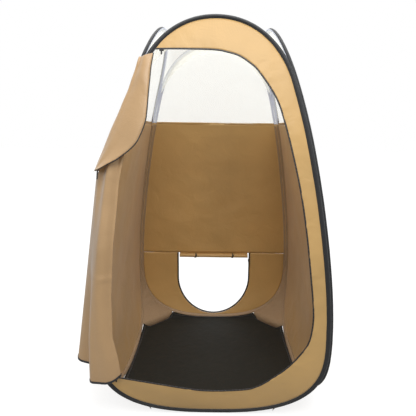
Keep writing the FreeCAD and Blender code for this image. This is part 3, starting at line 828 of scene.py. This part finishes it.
        def outer(t: float) -> tuple[float, float]:
            """(x, z) along the hoop's foot, just inside its binding."""
            x, z, dx, dz = line_at(line, along, t * along[-1], 0.01 * along[-1])
            return x - dz * inset, z + dx * inset

        def place(u: float, v: float) -> Vector:
            """The wall's point between the hoop's foot and the hatch."""
            ox, oz = outer(u)
            ix, iz = self.hatch_line(u, self.tape)
            x, z = ox + (ix - ox) * v, oz + (iz - oz) * v
            point = shape.on_front(x, z)
            point.y += ripple(point, 6.0, 31.0) * 0.004 * math.sin(math.pi * v)
            return turn(point, Side.BACK)

        obj = self.shop.mapped("back_wall_lower_cloth", 120, 20, place, "gold_taffeta", size=(1.9, 0.25))
        self.shop.thicken(obj, self.cloth)
        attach(obj, "root")
        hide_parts("back_wall_lower")
        path = [turn(shape.on_front(*self.hatch_line(t, 0.004)), Side.BACK) for t in np.linspace(0, 1, 140)]
        section = [(-0.006, -0.0012), (0.006, -0.0012), (0.006, 0.0), (0.0025, 0.0012), (0.0, 0.0019),
                   (-0.0025, 0.0012), (-0.006, 0.0)]
        zipper = self.shop.wand("vent_zip_coil", path, section, "zip_coil", lambda i: Vector((0, -1, 0)))
        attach(zipper, "root")
        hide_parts("vent_zip_tape")
        LOG.info("made the hatch wall and zip")

    def arch_point(self, s: float) -> Vector:
        """A point of the roof's front edge, beside the front hoop's arch; s runs from -1 to 1."""
        shape = self.shop.shape
        arch = shape.outline[120:]
        place = (1.0 - abs(s)) * (len(arch) - 1)
        i = min(int(place), len(arch) - 2)
        share = place - i
        x = arch[i][0] * (1 - share) + arch[i + 1][0] * share
        z = arch[i][1] * (1 - share) + arch[i + 1][1] * share
        corner = shape.half(shape.arch_start)
        clear = shape.binding + 0.0006
        tuck = clear + 0.0018
        y = -shape.wall_y(z) + clear + (shape.pair_shift + tuck - clear) * abs(s) ** 4
        return Vector((math.copysign(x * (corner - tuck) / (corner - shape.pair_shift), s), y, z))

    def _roof(self) -> None:
        """Builds the clear roof between the four arches."""
        def place(u: float, v: float) -> Vector:
            """The roof's point, blended from its four edges, with a little sag."""
            s, t = 2 * u - 1, 2 * v - 1
            front, side = self.arch_point(s), self.arch_point(t)
            across = Vector((front.x, front.y * -t, front.z))
            along = Vector((side.y * -s, side.x, side.z))
            near_side, near_front = 1 - s * s, 1 - t * t
            total = near_side + near_front
            point = across if total < 1e-9 else (across * near_side + along * near_front) / total
            wrinkle = ripple(point, 7.0, 4.0) * 0.004 * min(near_side, near_front)
            return point - Vector((0, 0, self.shop.shape.roof_sag * near_side * near_front - wrinkle + 0.001))

        obj = self.shop.mapped("roof_film", 56, 56, place, "clear_film", size=(1.0, 1.0))
        self.shop.thicken(obj, self.film)
        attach(obj, "root")
        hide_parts("roof_window")
        LOG.info("made the roof")

    def _patch(self, side: Side) -> None:
        """Builds the small triangular film patch beside a rear corner."""
        z0 = self.film_foot + 0.004
        edge = self.edge_reach(z0)
        sign = 1.0 if side is Side.RIGHT else -1.0

        def place(u: float, v: float) -> Vector:
            """The patch's point: a corner piece with a slanting edge."""
            x = edge - 0.003 - 0.058 * (1 - u)
            z = z0 + v * (0.052 - 0.040 * u)
            point = self.shop.shape.on_front(sign * x, z, 0.0035)
            return turn(point, side)

        obj = self.shop.mapped(f"{side.name.lower()}_corner_patch", 8, 8, place, "frosted_film", size=(0.06, 0.05))
        self.shop.thicken(obj, 0.0008)
        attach(obj, "root")
        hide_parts(f"{side.name.lower()}_window_patch")


# ---------------------------------------------------------------- the doorway


@dataclass
class Doorway:
    """The front surround and its zip.

    Attributes:
        line: (x, z) of the zip, from the top left round to the foot's outer end.
    """

    shop: Workshop
    line: tuple = ((-0.330, 1.914), (-0.170, 1.916), (-0.010, 1.913), (0.060, 1.901), (0.113, 1.885),
                   (0.163, 1.853), (0.212, 1.808), (0.297, 1.680),
                   (0.340, 1.560), (0.382, 1.402), (0.423, 1.220),
                   (0.456, 1.022), (0.485, 0.790), (0.502, 0.640), (0.502, 0.545), (0.488, 0.465),
                   (0.457, 0.408), (0.384, 0.317), (0.283, 0.230), (0.231, 0.196), (0.179, 0.178),
                   (0.060, 0.167), (-0.040, 0.167), (-0.130, 0.178), (-0.270, 0.205), (-0.400, 0.230),
                   (-0.500, 0.2493), (-0.548, 0.2586))

    def build(self) -> None:
        """Builds the surround and the zip tape and coil."""
        shape = self.shop.shape
        dense = np.array([catmull(self.line, t) for t in np.linspace(0, 1, 400)])
        along = distances(dense)

        def inner(t: float, grow: float) -> tuple[float, float]:
            """(x, z) along the zip, moved out by a distance."""
            x, z, dx, dz = line_at(dense, along, t * along[-1], 0.01)
            return x - dz * grow, z + dx * grow

        ring = shape.hoop_ring(1200)
        top_start = next(i for i, p in enumerate(ring) if p[0] < -0.318 and p[1] > 1.8)
        clockwise = [tuple(p) for p in ring[top_start::-1]]
        lower_left = [tuple(p) for p in ring[::-1] if p[0] < 0 and p[1] < 0.27]
        outer_line = np.array(clockwise + lower_left)
        out_along = distances(outer_line)
        inset = shape.binding + 0.0025

        def outer(t: float) -> tuple[float, float]:
            """(x, z) along the hoop, just inside its binding, going clockwise from the top left."""
            x, z, dx, dz = line_at(outer_line, out_along, t * out_along[-1], 0.01)
            return x + dz * inset, z - dx * inset

        matched = self._match(inner, outer)

        def place(u: float, v: float) -> Vector:
            """The surround's point between the zip and the hoop."""
            ix, iz = inner(u, 0.006)
            ox, oz = outer(float(np.interp(u, matched[0], matched[1])))
            x, z = ix + (ox - ix) * v, iz + (oz - iz) * v
            point = shape.on_front(x, z)
            belly = math.sin(math.pi * v)
            point.y += ripple(point, 5.0, 11.0) * 0.005 * belly
            pucker = math.sin(u * 400.0) * 0.0006 + ripple(Vector((u * 40.0, v * 2.0, 0)), 1.0, 8.0) * 0.0022
            point.y += pucker * (1 - v) ** 2
            pull = ripple(Vector((u * 60.0, v * 1.5, 3.0)), 1.0, 2.0) * 0.0025
            point.y += pull * v * v * (1 - v) * 4
            return point

        obj = self.shop.mapped("front_surround_cloth", 320, 16, place, "gold_taffeta", size=(4.0, 0.16))
        self.shop.thicken(obj, 0.0008)
        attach(obj, "root")
        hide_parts("front_surround")
        path = [shape.on_front(*inner(t, 0.0035)) for t in np.linspace(0, 1, 420)]
        section = [(-0.0035, 0.0008), (-0.0035, -0.0006), (0.0045, -0.0006), (0.0045, 0.0008), (0.0018, 0.0014),
                   (0.0, 0.0020), (-0.0018, 0.0016)]
        zipper = self.shop.wand("door_zip_coil", path, section, "zip_coil", lambda i: Vector((0, -1, 0)))
        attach(zipper, "root")
        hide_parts("door_zip_tape")
        LOG.info("made the doorway")

    @staticmethod
    def _match(inner: Callable, outer: Callable) -> tuple[np.ndarray, np.ndarray]:
        """Pairs places along the zip with the nearest places along the hoop, never going back.

        Args:
            inner: the zip line.
            outer: the hoop line.

        Returns:
            Places along the zip and the places along the hoop that they match.
        """
        outs = np.array([outer(t) for t in np.linspace(0, 1, 600)])
        at = np.linspace(0, 1, 41)
        best = []
        for t in at:
            x, z = inner(t, 0.0)
            best.append(float(np.argmin((outs[:, 0] - x) ** 2 + (outs[:, 1] - z) ** 2)) / 599.0)
        best[0], best[-1] = 0.0, 1.0
        best = np.maximum.accumulate(np.array(best))
        smooth = np.convolve(np.pad(best, 2, mode="edge"), np.ones(5) / 5, mode="valid")
        smooth[0], smooth[-1] = 0.0, 1.0
        return at, smooth


# ---------------------------------------------------------------- the floor


@dataclass
class Floor:
    """The black floor sheet, its edge tape and the four foot gussets."""

    shop: Workshop
    reach: float = 0.5382
    flat_half: float = 0.335
    thick: float = 0.0014

    def build(self) -> None:
        """Builds the floor and the gussets."""
        self._sheet()
        self._edge()
        for quarter, corner in enumerate(("front_right", "back_right", "back_left", "front_left")):
            self._gusset(Side(quarter), corner)

    def edge_lift(self, along: float) -> float:
        """How far the floor's edge rises to the hoop at a distance from the edge's middle."""
        shape = self.shop.shape
        z = float(np.interp(abs(along), shape.side_x[:60], shape.side_z[:60]))
        return max(0.0, z - 0.006)

    def _sheet(self) -> None:
        """Builds the floor sheet, crinkled, with its edges drawn up to the hoops."""
        def place(u: float, v: float) -> Vector:
            """The floor's point."""
            y = (2 * v - 1) * self.reach
            width = self.reach - max(0.0, abs(y) - self.flat_half)
            x = (2 * u - 1) * width
            lift = 0.0
            for near, along in ((self.reach - abs(y), x), (self.reach - abs(x), y)):
                share = max(0.0, 1.0 - near / 0.05)
                lift = max(lift, self.edge_lift(along) * share * share)
            point = Vector((x, y, 0.0))
            crinkle = 0.0016 * (1 + ripple(point, 9.0, 1.0)) + 0.0007 * (1 + ripple(point, 31.0, 6.0))
            return Vector((x, y, 0.0008 + lift + crinkle))

        obj = self.shop.mapped("floor_cloth", 90, 90, place, "floor_oxford", size=(1.07, 1.07))
        self.shop.thicken(obj, self.thick)
        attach(obj, "root")
        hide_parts("floor_sheet")

    def _edge(self) -> None:
        """Builds the stitched tape along the floor's edge."""
        inset = 0.010
        reach, flat = self.reach - inset, self.flat_half - inset * 0.414
        corners = [(flat, -reach), (reach, -flat), (reach, flat), (flat, reach)]
        corners += [(-x, -y) for x, y in corners]
        path = []
        for i, a in enumerate(corners):
            b = corners[(i + 1) % len(corners)]
            for share in np.linspace(0, 1, 12, endpoint=False):
                x, y = a[0] + (b[0] - a[0]) * share, a[1] + (b[1] - a[1]) * share
                near_x, near_y = self.reach - abs(x), self.reach - abs(y)
                lift = max(self.edge_lift(y) * max(0.0, 1 - near_x / 0.05) ** 2,
                           self.edge_lift(x) * max(0.0, 1 - near_y / 0.05) ** 2)
                path.append(Vector((x, y, 0.0052 + lift)))
        section = [(-0.007, -0.0012), (0.007, -0.0012), (0.0068, 0.0004), (0.0, 0.0009), (-0.0068, 0.0004)]
        obj = self.shop.wand("floor_edge_binding", path, section, "black_binding",
                             lambda i: Vector((0, 0, 1)), cyclic=True)
        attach(obj, "root")
        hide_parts("floor_edge_tape")

    def _gusset(self, side: Side, corner: str) -> None:
        """Builds the gathered triangle between two hoops' feet and the floor's cut corner."""
        shape = self.shop.shape
        clear = shape.binding + 0.001
        foot = [(x, z) for x, z in shape.outline[:60] if x > self.flat_half and z < 0.43]
        line = [Vector((self.flat_half, -shape.wall_y(0) + clear, 0.004))]
        line += [shape.on_front(x, z, clear) for x, z in foot]

        def place(u: float, v: float) -> Vector:
            """The gusset's point, from the front hoop to the right hoop."""
            a = Vector(catmull([tuple(p) for p in line], v))
            b = Vector((-a.y, -a.x, a.z))
            point = a.lerp(b, u)
            inward = Vector((-1, 1, 0)).normalized()
            width = (b - a).length
            folds = math.sin(v * 34.0 + 2.0 * math.sin(u * 3.0)) * 0.0022
            slack = 0.020 * math.sin(math.pi * u) * min(1.0, width / 0.2)
            point += inward * ((folds + ripple(point, 26.0, 4.0) * 0.003) * math.sin(math.pi * u)
                               * min(1.0, width / 0.1) + slack * 0.3)
            return turn(point, side)

        obj = self.shop.mapped(f"{corner}_gusset_cloth", 26, 44, place, "gusset_taffeta", size=(0.29, 0.48))
        self.shop.thicken(obj, 0.0008)
        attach(obj, "root")
        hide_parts(f"{corner}_gusset")


# ---------------------------------------------------------------- the door's cloth


@dataclass
class DoorCloth:
    """The door's cloth, thrown back round the left corner: a lapel over a hanging drape.

    Attributes:
        lapel_edge: points down the lapel's free zip edge, from the doorway's top corner.
        lapel_side: points down its outer silhouette.
        right_fold: (height, x, y) of the drape's right edge as seen from the front.
        fold_foot: lower end of the straight fold line at the drape's outer side.
        fold_head: upper end of it.
    """

    shop: Workshop
    lapel_edge: tuple = ((-0.309, -0.386, 1.893), (-0.318, -0.408, 1.830), (-0.323, -0.428, 1.762),
                         (-0.328, -0.450, 1.690), (-0.332, -0.470, 1.620), (-0.342, -0.488, 1.550),
                         (-0.383, -0.516, 1.456), (-0.458, -0.538, 1.388), (-0.519, -0.549, 1.354),
                         (-0.575, -0.552, 1.325))
    lapel_side: tuple = ((-0.385, -0.378, 1.872), (-0.400, -0.388, 1.822), (-0.418, -0.400, 1.768),
                         (-0.436, -0.412, 1.712), (-0.460, -0.424, 1.655), (-0.482, -0.434, 1.600),
                         (-0.520, -0.445, 1.515), (-0.556, -0.450, 1.425), (-0.580, -0.456, 1.365),
                         (-0.596, -0.462, 1.315))
    right_fold: tuple = ((0.26, -0.486, -0.630), (0.38, -0.499, -0.636), (0.49, -0.519, -0.636),
                         (0.70, -0.520, -0.622), (0.95, -0.508, -0.594), (1.15, -0.490, -0.545),
                         (1.29, -0.478, -0.522), (1.42, -0.462, -0.492))
    fold_foot: Vector = field(default_factory=lambda: Vector((-0.752, -0.450, 0.278)))
    fold_head: Vector = field(default_factory=lambda: Vector((-0.594, -0.450, 1.306)))
    back_length: float = 0.44
    thick: float = 0.0009

    def build(self) -> None:
        """Builds the drape, the lapel, the hem and the zip along the lapel."""
        self._drape()
        self._lapel()
        self._lapel_zip()

    def silhouette(self, z: float) -> Vector:
        """The fold line at height z."""
        share = (z - self.fold_foot.z) / (self.fold_head.z - self.fold_foot.z)
        return self.fold_foot.lerp(self.fold_head, share)

    def hem_height(self, u: float) -> float:
        """Height of the drape's hem at u along the cloth."""
        heights = [(0.0, 0.292), (0.10, 0.284), (0.2, 0.262), (0.30, 0.240), (0.38, 0.238), (0.46, 0.256),
                   (0.54, 0.262), (0.62, 0.278), (0.72, 0.292), (1.0, 0.306)]
        return float(np.interp(u, [h[0] for h in heights], [h[1] for h in heights]))

    def drape_path(self, z: float) -> list[tuple[float, float]]:
        """Plan points of the drape at height z, from its seam on the hoop to its rear edge."""
        shape = self.shop.shape
        heights = [r[0] for r in self.right_fold]
        xr = float(np.interp(z, heights, [r[1] for r in self.right_fold]))
        yr = float(np.interp(z, heights, [r[2] for r in self.right_fold]))
        fold = self.silhouette(z)
        front = -shape.wall_y(z)
        seam = (-shape.hoop_x(z) + 0.004, front + 0.018)
        if z > self.fold_head.z:
            fold.x += (z - self.fold_head.z) * 0.32
        valley = min(max((0.86 - z) / 0.5, 0.0), 1.0)
        lobe = float(np.interp(z, [0.25, 0.50, 0.80, 1.15, 1.30, 1.40],
                               [-0.645, -0.636, -0.615, -0.582, -0.560, -0.542]))
        points = [seam,
                  (-shape.hoop_x(z) + 0.020, front - 0.002),
                  (max(xr + 0.010, -shape.hoop_x(z) + 0.036), front * 0.55 + yr * 0.45),
                  (xr, yr + 0.004),
                  (xr - 0.030, min(yr - 0.014, front - 0.016)),
                  ((xr + lobe) / 2 - 0.010, yr - 0.016),
                  (lobe + 0.012, yr + 0.004 + 0.012 * (1 - valley)),
                  (lobe + 0.026 * valley - 0.014 * (1 - valley), (yr + fold.y) / 2 - 0.006 + 0.016 * valley),
                  (fold.x + 0.026 * (0.4 + 0.6 * valley), fold.y - 0.032),
                  (fold.x, fold.y)]
        wall = -shape.half(z) - shape.pair_shift - shape.binding - 0.012
        for i in range(1, 7):
            share = i / 6
            wave = -0.010 * (1 - math.cos(3 * math.pi * share))
            draw_in = max(0.0, z - 0.85) * 0.09 * math.sin(math.pi * min(1.0, share * 1.5))
            x = fold.x + (wall - fold.x) * 0.78 * share ** 2 - wave + draw_in
            points.append((min(x, wall), fold.y + self.back_length * share))
        return points

    def _drape(self) -> None:
        """Builds the hanging cloth below the lapel and its black hem."""
        top = 1.40
        hem_points: dict[float, Vector] = {}

        def place(u: float, v: float) -> Vector:
            """The drape's point: u from the hoop to the rear edge, v from the hem upwards."""
            head = max(top - max(0.0, u - 0.40) * 0.75, 1.235 - 0.12 * max(0.0, u - 0.62) ** 0.5)
            z = self.hem_height(u) + (head - self.hem_height(u)) * v
            x, y = catmull(self.drape_path(z), u)
            point = Vector((x, y, z))
            loose = math.sin(math.pi * min(1.0, u * 1.4)) ** 2
            soft = ripple(Vector((u * 6.0, z * 1.3, 2.0)), 1.0, 5.0) * 0.0100
            fine = ripple(Vector((u * 16.0, z * 2.6, 7.0)), 1.0, 5.0) * 0.0026
            crease = math.exp(-((z - 0.80 - 0.03 * (u - 0.3)) / 0.012) ** 2) * 0.0035 * (0.15 < u < 0.5)
            point += Vector((0.35, -1.0, 0.0)) * ((soft + fine) * loose * 0.8 + crease)
            if v == 0.0:
                hem_points[u] = point.copy()
            return point

        obj = self.shop.mapped("door_drape_cloth", 120, 84, place, "door_taffeta", size=(1.05, 1.1))
        self.shop.thicken(obj, self.thick)
        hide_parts("door_cloth_drape", "door_cloth_gather")
        self._bend(obj)
        order = sorted(hem_points)
        path = [hem_points[u] + Vector((0, 0, 0.003)) for u in order]
        section = [(-0.0022, -0.0055), (0.0022, -0.0055), (0.0026, 0.0), (0.0022, 0.0055), (-0.0022, 0.0055),
                   (-0.0026, 0.0)]
        hem = self.shop.wand("door_hem_binding", path, section, "black_binding", lambda i: Vector((0, 0, 1)))
        self._bend(hem)
        LOG.info("made the drape")

    def _bend(self, obj: bpy.types.Object) -> None:
        """Bakes a piece's placement into its mesh."""
        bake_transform(obj)

    def _lapel(self) -> None:
        """Builds the turned-back upper part of the door."""
        shape = self.shop.shape

        def row(v: float) -> list[np.ndarray]:
            """Points across the lapel at v down it."""
            edge, side = catmull(self.lapel_edge, v), catmull(self.lapel_side, v)
            middle = (edge + side) / 2
            front = -shape.wall_y(middle[2]) - shape.binding - 0.010
            middle[1] = min(middle[1], front) - 0.006
            near_side = edge * 0.2 + side * 0.8
            near_side[1] = min(near_side[1], front + 0.010)
            z = side[2] - 0.012
            rear_x = -shape.half(z) - shape.pair_shift - shape.binding - 0.008
            depth = 0.10 + 0.13 * v
            rear = np.array([min(rear_x, side[0] + 0.03), side[1] + depth * 0.6, z - 0.02])
            rear_end = np.array([min(rear_x + 0.002, side[0] + 0.06), side[1] + depth, z - 0.045])
            return [edge, edge * 0.75 + middle * 0.25 + np.array([0, -0.006, 0]), middle, near_side, side, rear,
                    rear_end]

        def place(u: float, v: float) -> Vector:
            """The lapel's point: u from its free edge round to its rear, v from the top down."""
            point = Vector(catmull(row(v), u))
            soft = ripple(point, 8.0, 21.0) * 0.006 * math.sin(math.pi * min(u * 1.5, 1.0))
            near_edge = math.exp(-u / 0.05)
            pucker = ripple(Vector((v * 60.0, u * 4.0, 0.0)), 1.0, 3.0) * 0.004 * near_edge
            top_fold = ripple(Vector((v * 9.0, u * 3.0, 5.0)), 1.0, 3.0) * 0.006 * math.exp(-v / 0.25)
            point.y += soft + pucker + top_fold * min(1.0, u * 6)
            return point

        obj = self.shop.mapped("door_lapel_cloth", 70, 110, place, "door_taffeta", size=(0.40, 0.75))
        self.shop.thicken(obj, self.thick)
        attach(obj, "root")

    def _lapel_zip(self) -> None:
        """Builds the cream tape and dark coil along the lapel's free edge."""
        for name, finish, shift, section in (
                ("lapel_zip_tape", "cream_tape", 0.004,
                 [(-0.004, -0.0006), (0.004, -0.0006), (0.004, 0.0008), (-0.004, 0.0008)]),
                ("lapel_zip_coil", "zip_coil", 0.0,
                 [(-0.0022, -0.0014), (0.0022, -0.0014), (0.0028, 0.0006), (0.0, 0.0022), (-0.0028, 0.0006)])):
            path = []
            for t in np.linspace(0, 1, 200):
                edge = Vector(catmull(self.lapel_edge, t))
                side = Vector(catmull(self.lapel_side, t))
                path.append(edge + (side - edge).normalized() * shift + Vector((0, -0.0018, 0)))
            obj = self.shop.wand(name, path, section, finish, lambda i: Vector((0.1, -1, 0)))
            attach(obj, "root")


# ---------------------------------------------------------------- hatch flap and hardware


@dataclass
class HatchFlap:
    """The rolled hatch flap."""

    shop: Workshop
    turns: float = 3.2
    radius: float = 0.0160
    length: float = 0.556

    def build(self) -> None:
        """Builds the rolled cloth as one spiral sheet up to its seam."""
        low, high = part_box("vent_flap_roll")
        centre_z = low.z + 0.0165
        centre_y = high.y - 0.0165
        wall_y = high.y - 0.001

        def place(u: float, v: float) -> Vector:
            """The flap's point: u along the roll, v from the core out and up to the seam."""
            x = (2 * u - 1) * self.length / 2
            if v < 0.86:
                share = v / 0.86
                angle = share * self.turns * 2 * math.pi
                r = 0.004 + (self.radius - 0.004) * share
                squash = 1.0 + 0.06 * ripple(Vector((x * 9.0, share, 0)), 1.0, 2.0)
                end_angle = self.turns * 2 * math.pi
                phase = angle - end_angle
                y = centre_y + r * math.cos(phase) * squash
                z = centre_z - r * math.sin(-phase) * squash
            else:
                share = (v - 0.86) / 0.14
                y = centre_y + self.radius + (wall_y - centre_y - self.radius) * share
                z = centre_z + (high.z - centre_z) * share
            return Vector((x, y, z))

        obj = self.shop.mapped("vent_flap_cloth", 60, 110, place, "gold_taffeta", size=(0.56, 0.3))
        self.shop.thicken(obj, 0.0006)
        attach(obj, "root")
        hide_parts("vent_flap_roll")
        LOG.info("made the hatch flap")


@dataclass
class Hardware:
    """Finishes for the CAD pieces that keep their shape."""

    wardrobe: Wardrobe
    nodes: dict

    def dress(self) -> None:
        """Gives each hard CAD node its finish."""
        for name, obj in self.nodes.items():
            finish = self._finish(name)
            if finish is None:
                continue
            if not obj.data.materials:
                obj.data.materials.append(self.wardrobe[finish])
            for entry in obj.material_slots:
                entry.material = self.wardrobe[finish]

    @staticmethod
    def _finish(name: str) -> str | None:
        """The finish of a CAD node, by what it is."""
        for word, finish in (("wire", "spring_steel"), ("ferrule", "spring_steel"),
                             ("slider", "black_die_cast"),
                             ("pull", "black_die_cast"), ("toggle", "moulded_black"),
                             ("loop", "black_binding"),
                             ("tie_tab", "black_binding")):
            if word in name:
                return finish
        return None


# ---------------------------------------------------------------- the set


@dataclass
class Studio:
    """Floor, light and camera."""

    camera_place: tuple[float, float, float] = (0.0, -2.352, 1.510)
    pitch_down: float = 11.353
    roll: float = 0.677
    lens: float = 32.446
    shift_x: float = -0.0150

    def build(self) -> None:
        """Builds the set."""
        self._floor()
        self._world()
        self._lamp("key_panel", (0.2, -2.0, 3.4), (0.0, -0.2, 1.5), 1.6, 38.0)
        self._lamp("top_panel", (0.0, 0.2, 4.2), (0.0, 0.0, 0.0), 2.4, 42.0)
        self._camera()
        bpy.context.scene.view_settings.view_transform = "Standard"

    def _floor(self) -> None:
        """A pale floor that keeps the booth's shadow and is white to the camera elsewhere."""
        bm = bmesh.new()
        bmesh.ops.create_grid(bm, x_segments=2, y_segments=2, size=30.0)
        bmesh.ops.translate(bm, verts=bm.verts, vec=(0, 0, -0.0005))
        mesh = bpy.data.meshes.new("studio_floor")
        bm.to_mesh(mesh)
        bm.free()
        obj = bpy.data.objects.new("studio_floor", mesh)
        bpy.context.scene.collection.objects.link(obj)
        material, shader = new_material("studio_white")
        shader.inputs["Base Color"].default_value = (0.42, 0.42, 0.42, 1)
        shader.inputs["Roughness"].default_value = 0.9
        shader.inputs["Specular IOR Level"].default_value = 0.1
        link = material.node_tree.links.new
        rays = add_node(material, "ShaderNodeLightPath")
        seen = add_node(material, "ShaderNodeMath", operation="MAXIMUM")
        link(rays.outputs["Is Camera Ray"], seen.inputs[0])
        link(rays.outputs["Is Transmission Ray"], seen.inputs[1])
        lift = add_node(material, "ShaderNodeMath", operation="MULTIPLY")
        lift.inputs[1].default_value = 0.80
        link(seen.outputs[0], lift.inputs[0])
        shader.inputs["Emission Color"].default_value = (1, 1, 1, 1)
        link(lift.outputs[0], shader.inputs["Emission Strength"])
        mesh.materials.append(material)

    def _world(self) -> None:
        """A white surround, plain to the lamps and white to the camera."""
        world = bpy.data.worlds.new("studio")
        bpy.context.scene.world = world
        world.use_nodes = True
        nodes, link = world.node_tree.nodes, world.node_tree.links.new
        background = nodes["Background"]
        background.inputs["Color"].default_value = (1, 1, 1, 1)
        rays = nodes.new("ShaderNodeLightPath")
        seen = nodes.new("ShaderNodeMath")
        seen.operation = "MAXIMUM"
        link(rays.outputs["Is Camera Ray"], seen.inputs[0])
        link(rays.outputs["Is Transmission Ray"], seen.inputs[1])
        both = nodes.new("ShaderNodeMath")
        both.operation = "MAXIMUM"
        link(seen.outputs[0], both.inputs[0])
        link(rays.outputs["Is Glossy Ray"], both.inputs[1])
        level = nodes.new("ShaderNodeMapRange")
        level.inputs["To Min"].default_value = 0.62
        level.inputs["To Max"].default_value = 1.0
        link(both.outputs[0], level.inputs["Value"])
        link(level.outputs["Result"], background.inputs["Strength"])

    def _lamp(self, name: str, place: Sequence[float], aim: Sequence[float], size: float, power: float) -> None:
        """A soft square lamp aimed at a point."""
        data = bpy.data.lights.new(name, "AREA")
        data.size = size
        data.energy = power
        lamp = bpy.data.objects.new(name, data)
        bpy.context.scene.collection.objects.link(lamp)
        lamp.location = place
        lamp.rotation_euler = (Vector(aim) - Vector(place)).to_track_quat("-Z", "Y").to_euler()

    def _camera(self) -> None:
        """The camera, looking slightly down at the doorway."""
        data = bpy.data.cameras.new("camera")
        data.lens = self.lens
        data.sensor_width = 36.0
        data.shift_x = self.shift_x
        camera = bpy.data.objects.new("camera", data)
        bpy.context.scene.collection.objects.link(camera)
        camera.location = self.camera_place
        down = math.radians(90.0 - self.pitch_down)
        camera.rotation_euler = Euler((down, 0.0, 0.0), "XYZ")
        camera.rotation_euler.rotate_axis("Z", math.radians(self.roll))
        bpy.context.scene.camera = camera


def main() -> None:
    """Builds the booth round its CAD frame."""
    logging.basicConfig(level=logging.INFO, format="%(name)s: %(message)s")
    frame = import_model()
    wardrobe = Wardrobe()
    shop = Workshop(wardrobe, CabinShape())
    Hardware(wardrobe, frame["nodes"]).dress()
    Hoops(shop).build()
    Walls(shop).build()
    Doorway(shop).build()
    Floor(shop).build()
    DoorCloth(shop).build()
    HatchFlap(shop).build()
    Studio().build()


if __name__ == "__main__":
    main()
